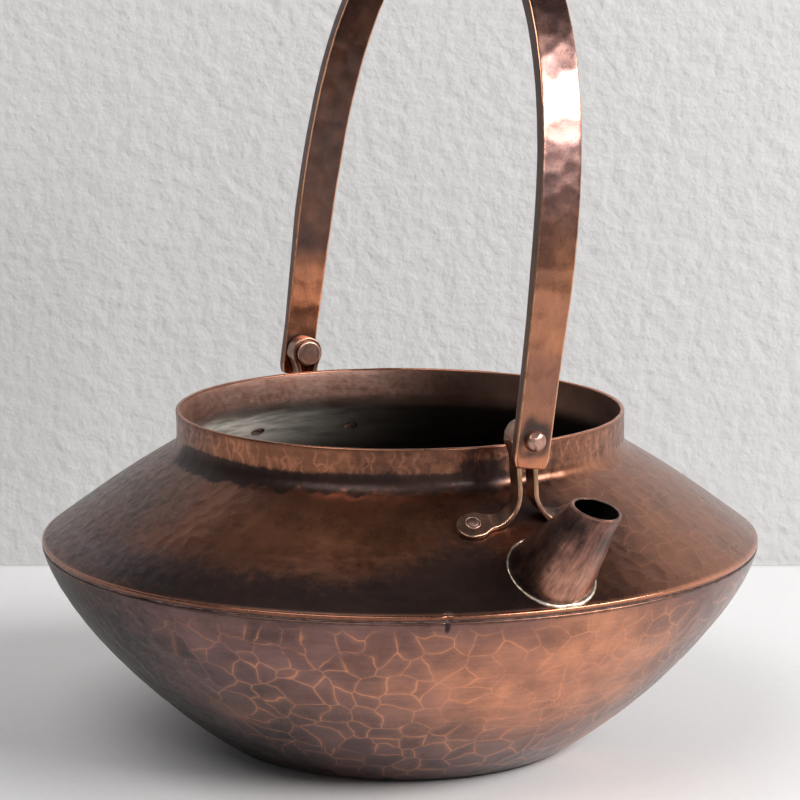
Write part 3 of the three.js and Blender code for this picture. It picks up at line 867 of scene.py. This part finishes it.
def seam_bead():
    """A slightly uneven bead of solder between the edges of the two shells."""
    turn = full_turn(360)
    radius = EQUATOR_R - SHEET
    height = np.full_like(turn, (BOWL_TOP_Z + LIP_FOOT_Z) / 2)
    centre = np.stack([radius * np.cos(turn), radius * np.sin(turn), height], axis=1)
    size = 0.85 * (1 + 0.14 * waves(centre, 9, 63))
    up = np.repeat([[0.0, 0.0, 1.0]], len(turn), axis=0)
    points = bead_points(centre, size, unit(centre * [1, 1, 0]), up)
    piece = grid_object("seam_bead", points, [SEAM_SOLDER], closed=True)
    finish_piece(piece, "can", "solder", "body_seam_solder")


# ---------- spout ----------
SPOUT_AXIS = np.array([math.cos(SPOUT_RISE), 0, math.sin(SPOUT_RISE)])
SPOUT_SIDE = np.array([0.0, 1.0, 0.0])
SPOUT_FRONT = np.cross(SPOUT_AXIS, SPOUT_SIDE)
MOUTH_UP = unit(np.array([math.sin(MOUTH_SLOPE), math.sin(MOUTH_ROLL), math.cos(MOUTH_SLOPE)]))


def spout_around(sides):
    """Directions out of the spout's axis."""
    turn = full_turn(sides)[:, None]
    return np.cos(turn) * SPOUT_SIDE + np.sin(turn) * SPOUT_FRONT


def spout_rings(along, grown, sides):
    """Points of the spout's cone, grown by a distance. along is one number, or one per side."""
    along = np.asarray(along, float)
    along = along[:, None] if along.ndim == 1 else along
    radius = SPOUT_TIP_R - SPOUT_TAPER * along + grown
    return SPOUT_TIP + along[..., None] * SPOUT_AXIS + radius[..., None] * spout_around(sides)


def spout_mouth(grown, sides):
    """How far along the axis each side of the grown cone meets the plane of the mouth."""
    lean = spout_around(sides) @ MOUTH_UP
    return -(SPOUT_TIP_R + grown) * lean / (SPOUT_AXIS @ MOUTH_UP - SPOUT_TAPER * lean)


def spout_foot(grown, lift, sides):
    """How far along the axis each side of the grown cone comes within lift of the shoulder."""
    low, high = np.full(sides, -60.0), np.zeros(sides)
    for _ in range(32):
        middle = (low + high) / 2
        place = spout_rings(middle[None], grown, sides)[0]
        _, out = shoulder_place(place[:, 0], place[:, 1])
        clear = place[:, 2] > shoulder_z(np.hypot(place[:, 0], place[:, 1])) + lift / out[:, 2]
        high = np.where(clear, middle, high)
        low = np.where(clear, low, middle)
    return high


def spout_tube():
    sides = 144
    rounding = 0.35
    part = np.linspace(0, 1, 64)[:, None]
    foot, mouth = spout_foot(0, 0.02, sides), spout_mouth(0, sides)
    outer = spout_rings(blend(foot, mouth - rounding, part), 0, sides)
    lip = []
    for angle in np.radians([30, 60, 90, 120, 150]):
        grown = -SPOUT_WALL * (1 - math.cos(angle)) / 2
        along = spout_mouth(grown, sides) - rounding * (1 - math.sin(angle))
        lip.append(spout_rings(along[None], grown, sides)[0])
    inner_mouth = spout_mouth(-SPOUT_WALL, sides) - rounding
    inner_foot = spout_foot(-SPOUT_WALL, 0.02, sides)
    inner = spout_rings(blend(inner_mouth, inner_foot, np.linspace(0, 1, 24)[:, None]), -SPOUT_WALL, sides)

    points = outer.reshape(-1, 3)
    axis_near = SPOUT_TIP + ((points - SPOUT_TIP) @ SPOUT_AXIS)[:, None] * SPOUT_AXIS
    dents = 0.14 * waves(points * [0.4, 1, 0.4], 5.5, 61) + 0.08 * waves(points, 11, 62) - 0.16
    dents *= np.repeat(smooth(part, 0.97, 0.85), sides)
    outer = (points + unit(points - axis_near) * dents[:, None]).reshape(outer.shape)
    rings = np.concatenate([outer, np.array(lip), inner])
    piece = grid_object("spout_tube", rings, [SPOUT_COPPER, TINNED], closed=True)
    inside = np.zeros((len(rings), sides), np.int32)
    inside[len(outer) + len(lip) - 1:] = 1
    piece.data.polygons.foreach_set("material_index", inside.ravel())
    around = spout_around(sides)
    lit = around @ unit(np.array([0.75, 0.0, -0.4]))
    mouth_edge = np.repeat(smooth(part, 0.985, 1.0) * 0.5, sides)
    marks(
        piece,
        # Painted light: warmer and lighter on the spout's underside.
        warm=smooth(lit, -0.1, 0.9) * smooth(part, 0.72, 0.3) * smooth(part, -0.05, 0.12),
        # Painted shade at the spout's foot, where it meets the shoulder, and on its side away from the key
        # lamp.
        soot=smooth(part, 0.12, 0.0) * 0.55 + smooth(-around[:, 1], 0.3, 1.0) * 0.42,
        edge=np.r_[mouth_edge, np.full(len(lip) * sides, 0.15)],
    )
    finish_piece(piece, "can", "shoulder_copper", "spout")


def spout_bead():
    """Solder round the spout's foot, uneven, and thickest where it meets the lip of the can."""
    sides = 180
    centre = spout_rings(spout_foot(0.16, 0.12, sides)[None], 0.16, sides)[0]
    _, out = shoulder_place(centre[:, 0], centre[:, 1])
    size = 0.27 + 0.08 * waves(centre, 7, 64) + 0.06 * waves(centre, 2.5, 65)
    size += 0.26 * smooth(centre[:, 0], 92, 99)
    run = unit(np.roll(centre, -1, axis=0) - np.roll(centre, 1, axis=0))
    across = unit(np.cross(out, run))
    across *= np.sign((across * spout_around(sides)).sum(axis=1))[:, None]
    points = bead_points(centre, size, 1.25 * across, 0.8 * out)
    radius = np.linalg.norm(points[..., :2], axis=-1, keepdims=True)
    points[..., :2] *= np.minimum(1, (EQUATOR_R - 0.15) / radius)
    piece = grid_object("spout_bead", points, [SOLDER], closed=True)
    finish_piece(piece, "can", "solder", "spout_solder")


# ---------- strips ----------
def section_points(half_width, half_thick, corner, per_side, per_edge):
    """Outline of a rectangle with rounded corners, with its outward directions, from half sizes."""
    corner = min(corner, half_width * 0.98, half_thick * 0.98)
    centres = np.array([(1, 1), (-1, 1), (-1, -1), (1, -1)]) * [half_width - corner, half_thick - corner]
    spots, ways = [], []
    for quarter in range(4):
        angles = np.radians(np.linspace(0, 90, 5)) + quarter * np.pi / 2
        way = np.stack([np.cos(angles), np.sin(angles)], axis=1)
        count = per_side if quarter in (0, 2) else per_edge
        here, after = centres[quarter], centres[(quarter + 1) % 4]
        part = np.linspace(0, 1, count + 2)[1:-1, None]
        spots += [here + corner * way, blend(here, after, part) + corner * way[-1]]
        ways += [way, np.repeat(way[-1:], count, axis=0)]
    return np.vstack(spots), np.vstack(ways)


def swept(places, across, out, half_widths, half_thicks, corner, per_side, per_edge):
    """Points and outward directions of a strip: one rounded rectangle per station."""
    points, ways, spots = [], [], []
    for place, side, up, width, thick in zip(places, across, out, half_widths, half_thicks):
        spot, way = section_points(width, thick, corner, per_side, per_edge)
        points.append(place + spot[:, :1] * side + spot[:, 1:] * up)
        ways.append(way[:, :1] * side + way[:, 1:] * up)
        spots.append(spot)
    return np.array(points), np.array(ways), np.array(spots)


def corner_wear(ways, across, out):
    """1 on rounded corners and 0 on the flats of a swept strip."""
    on_side = np.abs((ways * across[:, None]).sum(axis=2))
    on_face = np.abs((ways * out[:, None]).sum(axis=2))
    return smooth(np.minimum(on_side, on_face), 0.05, 0.5)


def bracket_line():
    """Half of the bracket's middle line, from the foot's end to the top of the eye, on the +Y side."""
    roundness = FOOT_W / 2
    bend_start = LEG_Y + LEG_BEND_R
    tip = FOOT_END_Y - roundness * (1 - np.cos(np.radians(np.linspace(6, 90, 14))))
    along = np.r_[tip, np.linspace(tip[-1], bend_start, FOOT_STATIONS - len(tip) + 1)[1:]]
    point, out = shoulder_place(np.full(len(along), FOOT_X), HARDWARE_Y + along)
    from_end = np.minimum(FOOT_END_Y - along, roundness)
    round_half = np.sqrt(np.maximum(roundness**2 - (roundness - from_end) ** 2, 0.01))
    tapered = blend(FOOT_W, STRIP_W, smooth(along, FOOT_TAPER_Y + 1, bend_start)) / 2
    half = np.where(along > FOOT_END_Y - roundness, round_half, tapered)
    run = unit(np.array([0.0, -1.0, 0.0]) + out * out[:, 1:2])
    foot_across = unit(np.cross(run, out))
    places = [*(point + out * FOOT_LIFT)]
    sides, ups = [*foot_across], [*out]
    leg_across = np.array([-1.0, 0.0, 0.0])

    def add(x, y, height, side, up_yz):
        places.append(np.array([x, HARDWARE_Y + y, height]))
        side = unit(side)
        up = np.array([0.0, *up_yz])
        ups.append(unit(up - side * (up @ side)))
        sides.append(side)

    foot = places[-1]
    for part in np.linspace(0, 1, 13)[1:]:
        cosine, sine = math.cos(part * np.pi / 2), math.sin(part * np.pi / 2)
        add(blend(foot[0], EYE_X, part * 0.5), bend_start - LEG_BEND_R * sine,
            foot[2] + LEG_BEND_R * (1 - cosine), blend(foot_across[-1], leg_across, part), (sine, cosine))
    drop = math.sqrt((EYE_MID_R + NECKING_R) ** 2 - (LEG_Y + NECKING_R) ** 2)
    meet = math.atan2(drop, LEG_Y + NECKING_R)
    sweep_foot = PIVOT[2] - drop
    leg = places[-1]
    for part in np.linspace(0, 1, 7)[1:-1]:
        x, height = blend(leg[0], EYE_X, smooth(part, 0, 1)), blend(leg[2], sweep_foot, part)
        add(x, LEG_Y, height, leg_across, (1, 0))
    for part in np.linspace(0, 1, 10):
        cosine, sine = math.cos(np.pi - meet * part), math.sin(np.pi - meet * part)
        y = LEG_Y + NECKING_R * (1 + cosine)
        add(EYE_X, y, sweep_foot + NECKING_R * sine, leg_across, (-cosine, -sine))
    for part in np.linspace(0, 1, 27)[1:]:
        angle = blend(-meet, np.pi / 2, part)
        cosine, sine = math.cos(angle), math.sin(angle)
        add(EYE_X, EYE_MID_R * cosine, PIVOT[2] + EYE_MID_R * sine, leg_across, (cosine, sine))
    halves = np.r_[half, np.full(len(places) - len(half), STRIP_W / 2)]
    return np.array(places), np.array(sides), np.array(ups), halves


def bracket(name, rear):
    places, sides, ups, halves = bracket_line()
    flip = np.array([1.0, -1.0, 1.0])
    places = np.vstack([places, (places * flip + [0, 2 * HARDWARE_Y, 0])[-2::-1]])
    sides = np.vstack([sides, (sides * flip)[-2::-1]])
    ups = np.vstack([ups, (ups * flip)[-2::-1]])
    halves = np.r_[halves, halves[-2::-1]]
    other = slice(1 - FOOT_STATIONS, None)  # the mirrored foot, laid anew on its part of the shoulder
    point, out = shoulder_place(places[other, 0], places[other, 1])
    places[other] = point + out * FOOT_LIFT
    ups[other] = out
    sides[other] = unit(sides[other] - out * (sides[other] * out).sum(axis=1, keepdims=True))

    thick = np.full(len(places), STRIP_THICK / 2)
    points, ways, _ = swept(places, sides, ups, halves, thick, 0.42, 7, 2)
    flat = points.reshape(-1, 3)
    dents = (0.05 * waves(flat, 3.2, 91) - 0.05)[:, None] * ways.reshape(-1, 3)
    points = (flat + dents).reshape(points.shape)
    wear = corner_wear(ways, sides, ups)
    height = np.repeat(places[:, 2:], points.shape[1], axis=1)
    if rear:
        points = points * [-1, 1, 1]
    piece = grid_object(name + "_strip", points, [BRACKET_COPPER])
    # Darker towards the feet, except on the rubbed corners.
    soot = smooth(height, 82, 77) * 0.5 * (1 - wear)
    marks(piece, edge=wear * 0.5, warm=hump(height, 87, 5) * 0.5, soot=soot)
    finish_piece(piece, "can", "bracket_copper", name)


def foot_rivet(name, y, rear):
    """Low rivet head in a bracket's foot with a ring pressed round it, and its tail inside the can."""
    point, out = shoulder_place(np.array(FOOT_X), np.array(HARDWARE_Y + y))
    top = STRIP_THICK
    outline = np.array([
        (0.001, -SHEET - 0.85), (1.3, -SHEET - 0.75), (1.95, -SHEET - 0.45), (RIVET_HEAD_R, -SHEET - 0.05),
        (1.25, -SHEET), (1.25, top - 0.1), (RIVET_HEAD_R, top - 0.1), (RIVET_HEAD_R, top + 0.12),
        (2.05, top + 0.28), (1.85, top + 0.3), (1.72, top + 0.16), (1.6, top + 0.14), (1.45, top + 0.34),
        (1.0, top + 0.46), (0.5, top + 0.5), (0.001, top + 0.5),
    ])
    turn = full_turn(48)
    side = unit(np.cross(out, [1.0, 0.0, 0.0]))
    ring = np.cos(turn)[:, None] * side + np.sin(turn)[:, None] * np.cross(out, side)
    points = point + outline[:, None, :1] * ring + outline[:, None, 1:] * out
    dents = 0.05 * waves(points, 1.7, 95)
    points = points + out * dents[..., None]
    if rear:
        points = points * [-1, 1, 1]
    piece = grid_object(name + "_head", points, [RIVET_COPPER])
    above = outline[:, 1] > 0
    ringed = np.repeat(hump(outline[:, 0], 2.0, 0.16) * above, len(turn))
    groove = np.repeat(hump(outline[:, 0], 1.66, 0.1) * above, len(turn))
    # Painted shade in the groove round the head, and the rest of the head darker than its ring.
    marks(piece, edge=ringed * 0.7, soot=np.clip(groove + 0.6 * (1 - ringed), 0, 1))
    finish_piece(piece, "can", "rivet_copper", name)


# ---------- handle ----------
def hung(points):
    """Points of the handle from its own upright plane, origin at the pins' line, to the row frame."""
    cosine, sine = math.cos(HANDLE_LEAN), math.sin(HANDLE_LEAN)
    turned = np.stack([
        points[..., 0], points[..., 1] * cosine - points[..., 2] * sine,
        points[..., 1] * sine + points[..., 2] * cosine,
    ], axis=-1)
    return turned + [0, PIVOT[1], PIVOT[2]]


def strap_blows(middle, across, out, half_width, half_thick, lengths):
    """Hammer blows in two rows on the strap's outer and inner face, and one row on each side."""
    rng = np.random.default_rng(5)
    places = []
    for level, rows, step in ((1, (-2.7, 2.7), 7.4), (-1, (-2.7, 2.7), 8.0), (0, (-1, 1), 9.0)):
        for row in rows:
            spot = np.arange(rng.uniform(0, step), lengths[-1], step)
            spot = np.clip(spot + rng.uniform(-2.2, 2.2, len(spot)), 0, lengths[-1])
            index = np.clip(np.searchsorted(lengths, spot), 0, len(middle) - 1)
            shift = rng.uniform(-1.3, 1.3, len(spot))
            sideways = row + shift if level else row * half_width[index]
            lifted = middle[index] + out[index] * (level * half_thick[index])[:, None]
            places.append(lifted + across[index] * sideways[:, None])
    return Blows(np.vstack(places), seed=6, spread=5)


def handle_strap():
    up = (STRAP_SPREAD_X, STRAP_STRAIGHT)
    leg = bezier([(STRAP_OUTER_X, -STRAP_END_DROP), up], 40)
    arch = bezier([up, (STRAP_SPREAD_X, ARCH_PULL_UP), (ARCH_PULL_IN, CROWN_RISE), (0, CROWN_RISE)], 200)
    half = joined(leg, arch)
    line = evened(joined(half, (half * [-1, 1])[::-1]), 0.8)
    near_end = np.array([0.0, 0.125, 0.375, 0.6875])[:, None]
    line = joined(blend(line[0], line[1], near_end), line[1:-1], blend(line[-1], line[-2], near_end[::-1]))
    inward = -line_normals(line)
    inward *= np.sign((inward * (np.array([0, 40]) - line)).sum(axis=1))[:, None]
    out = np.stack([-inward[:, 0], np.zeros(len(line)), -inward[:, 1]], axis=1)
    across = np.repeat([[0.0, 1.0, 0.0]], len(line), axis=0)
    height = line[:, 1]
    from_end = height + STRAP_END_DROP
    grown = smooth(height, 0, 60)
    tip = smooth(height, -STRAP_END_DROP - 1.5, -STRAP_END_DROP + 3)
    half_width = blend(STRAP_TIP_W, blend(STRAP_PIN_W, STRAP_W, grown), tip) / 2
    half_width -= rounded_off(from_end, 1.1) * 0.6
    thick = blend(STRAP_END_THICK, STRAP_THICK, grown)
    half_thick = thick / 2 - rounded_off(from_end, 0.4)
    middle = np.stack([line[:, 0], np.zeros(len(line)), height], axis=1) - out * (thick / 2)[:, None]
    points, ways, spots = swept(middle, across, out, half_width, half_thick, 0.62, 14, 4)

    lengths = np.r_[0, np.cumsum(np.linalg.norm(np.diff(line, axis=0), axis=1))]
    blows = strap_blows(middle, across, out, half_width, half_thick, lengths)
    flat = points.reshape(-1, 3)
    _, facet, tone, _ = hammered(flat, blows, 6.5, seed=60, wander=0.45)
    facing = (ways * out[:, None]).sum(axis=2)
    strength = blend(0.02, 0.1, smooth(np.abs(facing), 0.4, 0.9))
    strength *= (smooth(from_end, 9, 20) * 0.8 + 0.2)[:, None]
    depth = dished(facet, 1.3) * strength.ravel() + (0.08 * waves(flat, 24, 66) - 0.08)
    dented = (flat + ways.reshape(-1, 3) * depth[:, None]).reshape(points.shape)
    piece = grid_object("handle_strap", hung(dented), [STRAP_COPPER])

    wear = corner_wear(ways, across, out)
    level = np.repeat(height[:, None], points.shape[1], axis=1)
    is_inner = facing < -0.5
    ragged = waves(points, 7, 67)
    warm = smooth(level + 2 * ragged, -2.5, -6.5) * 0.5
    warm = np.maximum(warm, np.where(is_inner, hump(level + 3 * ragged, 15, 9) * 0.9, 0))
    bloom = np.where(is_inner, 0.0, 0.55 * smooth(level + 3 * ragged, 46, 66))
    from_pin = np.hypot(level, spots[..., 0])
    # Painted shade on the inner face and the side faces, and a painted shadow round the pin head; darker
    # just above the pin; none on the rubbed corners.
    shade = np.where(is_inner, 0.64 + 0.03 * ragged, 0.0) * smooth(level, 18, 34)
    shade = np.maximum(shade, 0.55 * hump(from_pin + ragged, 3.6, 1.8) + 0.3 * hump(level + ragged, 6, 6))
    shade = np.maximum(shade, 0.6 * smooth(np.abs(facing), 0.6, 0.3)) * (1 - wear)
    marks(piece, warm=warm, bloom=bloom, edge=wear * 0.9, tone=tone, soot=shade)
    finish_piece(piece, "handle", "strap_copper", "handle")


def pivot_pin(name, rear):
    """Shouldered pin: flat head inside, shank in the bracket's eye and a hammered head outside."""
    strap_inner = STRAP_OUTER_X - STRAP_END_THICK
    head_face = EYE_X - STRIP_W / 2 - 0.15
    head_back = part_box("front_pivot_pin")[0].x / MM
    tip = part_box("front_pivot_pin")[1].x / MM
    foot = STRAP_OUTER_X - 0.1
    rise = np.radians(np.linspace(0, 89, 14))
    outline = np.vstack([
        [(0.001, head_back + 0.02), (1.2, head_back + 0.02), (2.4, head_back + 0.01)],
        [(PIN_HEAD_R - 0.45, head_back)],
        arc((PIN_HEAD_R - 0.4, head_back + 0.4), 0.4, -80, 0, 5),
        [(PIN_HEAD_R, head_face - 0.25), (PIN_HEAD_R - 0.2, head_face), (SHANK_R, head_face + 0.02)],
        [(SHANK_R, strap_inner - 0.1), (TENON_R, strap_inner - 0.08), (TENON_R, foot)],
        [(PEEN_R - 0.15, foot + 0.02), (PEEN_R, foot + 0.25)],
        np.stack([PEEN_R * np.cos(rise) ** 0.6, blend(foot + 0.9, tip, np.sin(rise))], axis=1),
    ])
    turn = full_turn(64)
    along = np.repeat(outline[:, 1:], len(turn), axis=1)
    points = np.stack([along, outline[:, :1] * np.cos(turn), outline[:, :1] * np.sin(turn)], axis=-1)
    rng = np.random.default_rng(7 if rear else 8)
    for _ in range(11):
        angle, lean = rng.uniform(0, 2 * np.pi), rng.uniform(0.12, 0.75)
        way = np.array([math.cos(lean), math.sin(lean) * math.cos(angle), math.sin(lean) * math.sin(angle)])
        reach = way[0] * (tip - 0.12) + PEEN_R * math.sin(lean) * 0.5
        over = np.maximum(points @ way - reach, 0) * (points[..., 0] > foot + 0.5)
        points = points - over[..., None] * way
    if rear:
        points = points * [-1, 1, 1]
    piece = grid_object(name + "_rivet", hung(points), [RIVET_COPPER])
    rim = hump(outline[:, 0], PIN_HEAD_R - 0.25, 0.3) * (outline[:, 1] < head_face)
    # Painted shade on the inner head and shank, inside the bracket's eye and behind the strap, but not on
    # the head's rim.
    shade = (outline[:, 1] < foot) * (1 - rim) * 0.35
    marks(piece, edge=np.repeat(rim * 0.8, len(turn)), soot=np.repeat(shade, len(turn)))
    finish_piece(piece, "handle", "rivet_copper", name)


# ---------- stage ----------
# The stage is in metres.
VIEW_TURN = math.radians(65.6)  # azimuth of the camera's view, 0 looking along +Y and 90 along -X
AWAY = np.array([-math.sin(VIEW_TURN), math.cos(VIEW_TURN), 0.0])
RIGHT = np.array([math.cos(VIEW_TURN), math.sin(VIEW_TURN), 0.0])
EAST, NORTH, UP = np.eye(3)
FLOOR_Z = -0.0003
FLOOR_HALF = 4.0
WALL_BEHIND = 0.205
WALL_HALF_WIDTH = 3.0
WALL_HALF_HEIGHT = 1.2
LIT_PLACE = UP * 0.07
KEY_WAY = -AWAY * 0.42 + RIGHT * 0.75 + UP * 0.55
FILL_WAY = -AWAY * 0.5 - RIGHT * 0.35 + UP * 0.9
SKY_HEIGHTS = (0.1, 0.75)  # of a direction's upward part
SKY_STRENGTHS = (0.22, 0.02)
CAMERA_BACK = 0.9
CAMERA_HEIGHT = 0.26035
CAMERA_DIP = 0.181
LENS_MM = 147.6
SENSOR_MM = 36


def stage_plane(name, centre, side_a, side_b, material):
    corners = [centre + a * side_a + b * side_b for a, b in ((-1, -1), (1, -1), (1, 1), (-1, 1))]
    mesh = bpy.data.meshes.new(name)
    mesh.from_pydata([tuple(c) for c in corners], [], [(0, 1, 2, 3)])
    mesh.materials.append(material)
    made = bpy.data.objects.new(name, mesh)
    bpy.context.scene.collection.objects.link(made)


def plaster(name, color, wavelength, relief, one_sided=False):
    """Pale plaster. The one-sided wall is clear from behind, and is painted dark above the object as
    painted shade.
    """
    n = Nodes(name)
    tone = n.noise(wavelength * 3, detail=3.0)
    lumps = n.noise(wavelength, detail=3.0)
    color = n.mix(tone, tuple(c * 0.93 for c in color), color)
    if one_sided:
        height = n.add("ShaderNodeSeparateXYZ")
        n.feed(height.inputs[0], n.place)
        # Painted shade: the wall darkens between 0.3 and 0.65 m up.
        color = n.mix(n.ramp(height.outputs[2], 0.3, 0.65), color, (0.06, 0.055, 0.055))
        clear = n.add("ShaderNodeBsdfTransparent")
        choice = n.add("ShaderNodeMixShader")
        n.feed(choice.inputs[0], n.add("ShaderNodeNewGeometry").outputs["Backfacing"])
        n.tree.links.new(n.shader.outputs[0], choice.inputs[1])
        n.tree.links.new(clear.outputs[0], choice.inputs[2])
        n.tree.links.new(choice.outputs[0], n.tree.nodes["Material Output"].inputs["Surface"])
    return n.surface(color, 0.75, n.bump(lumps, relief), metallic=0.0, Specular_IOR_Level=0.25)


def placed(name, data, place, way):
    """A lamp or camera that looks along a direction."""
    made = bpy.data.objects.new(name, data)
    made.location = place
    made.rotation_mode = "QUATERNION"
    made.rotation_quaternion = Vector(way).to_track_quat("-Z", "Y")
    bpy.context.scene.collection.objects.link(made)
    return made


def lamp(name, way, distance, width, height, power):
    """A rectangular lamp, at a distance from the lit place and aimed at it."""
    data = bpy.data.lights.new(name, "AREA")
    data.shape = "RECTANGLE"
    data.size, data.size_y = width, height
    data.energy = power
    placed(name, data, LIT_PLACE + unit(way) * distance, -unit(way) * distance)


def build_stage():
    floor_plaster = plaster("floor_plaster", (0.8, 0.79, 0.79), 0.9, 0.03)
    stage_plane("floor", UP * FLOOR_Z, EAST * FLOOR_HALF, NORTH * FLOOR_HALF, floor_plaster)
    wall_plaster = plaster("wall_plaster", (0.61, 0.6, 0.595), 5.0, 1.2, one_sided=True)
    wall_centre = AWAY * WALL_BEHIND + UP * WALL_HALF_HEIGHT
    stage_plane("wall", wall_centre, RIGHT * WALL_HALF_WIDTH, UP * WALL_HALF_HEIGHT, wall_plaster)
    lamp("key", KEY_WAY, distance=1.7, width=1.5, height=0.42, power=36)
    lamp("fill", FILL_WAY, distance=1.6, width=1.1, height=0.9, power=11)


def build_sky():
    world = bpy.data.worlds.new("studio")
    bpy.context.scene.world = world
    world.use_nodes = True
    tree = world.node_tree
    coords = tree.nodes.new("ShaderNodeTexCoord")
    split = tree.nodes.new("ShaderNodeSeparateXYZ")
    tree.links.new(coords.outputs["Generated"], split.inputs[0])
    height = tree.nodes.new("ShaderNodeMapRange")
    height.interpolation_type = "SMOOTHSTEP"
    for socket, number in zip(height.inputs[1:], SKY_HEIGHTS + SKY_STRENGTHS):
        socket.default_value = number
    tree.links.new(split.outputs[2], height.inputs[0])
    background = tree.nodes["Background"]
    background.inputs["Color"].default_value = (0.97, 0.985, 1.0, 1)
    tree.links.new(height.outputs[0], background.inputs["Strength"])


def build_camera():
    data = bpy.data.cameras.new("camera")
    data.lens = LENS_MM
    data.sensor_width = SENSOR_MM
    way = AWAY * math.cos(CAMERA_DIP) - UP * math.sin(CAMERA_DIP)
    bpy.context.scene.camera = placed("camera", data, -AWAY * CAMERA_BACK + UP * CAMERA_HEIGHT, way)


# ---------- assembly ----------
build_stage()
build_sky()
build_camera()
bpy.context.scene.view_settings.view_transform = "Standard"

lower_bowl()
upper_body()
seam_bead()
spout_tube()
spout_bead()
for end in ("front", "rear"):
    bracket(f"{end}_bracket", end == "rear")
    pivot_pin(f"{end}_pivot_pin", end == "rear")
    for side, y in (("left", -RIVET_Y), ("right", RIVET_Y)):
        foot_rivet(f"{end}_bracket_rivet_{side}", y, end == "rear")
handle_strap()
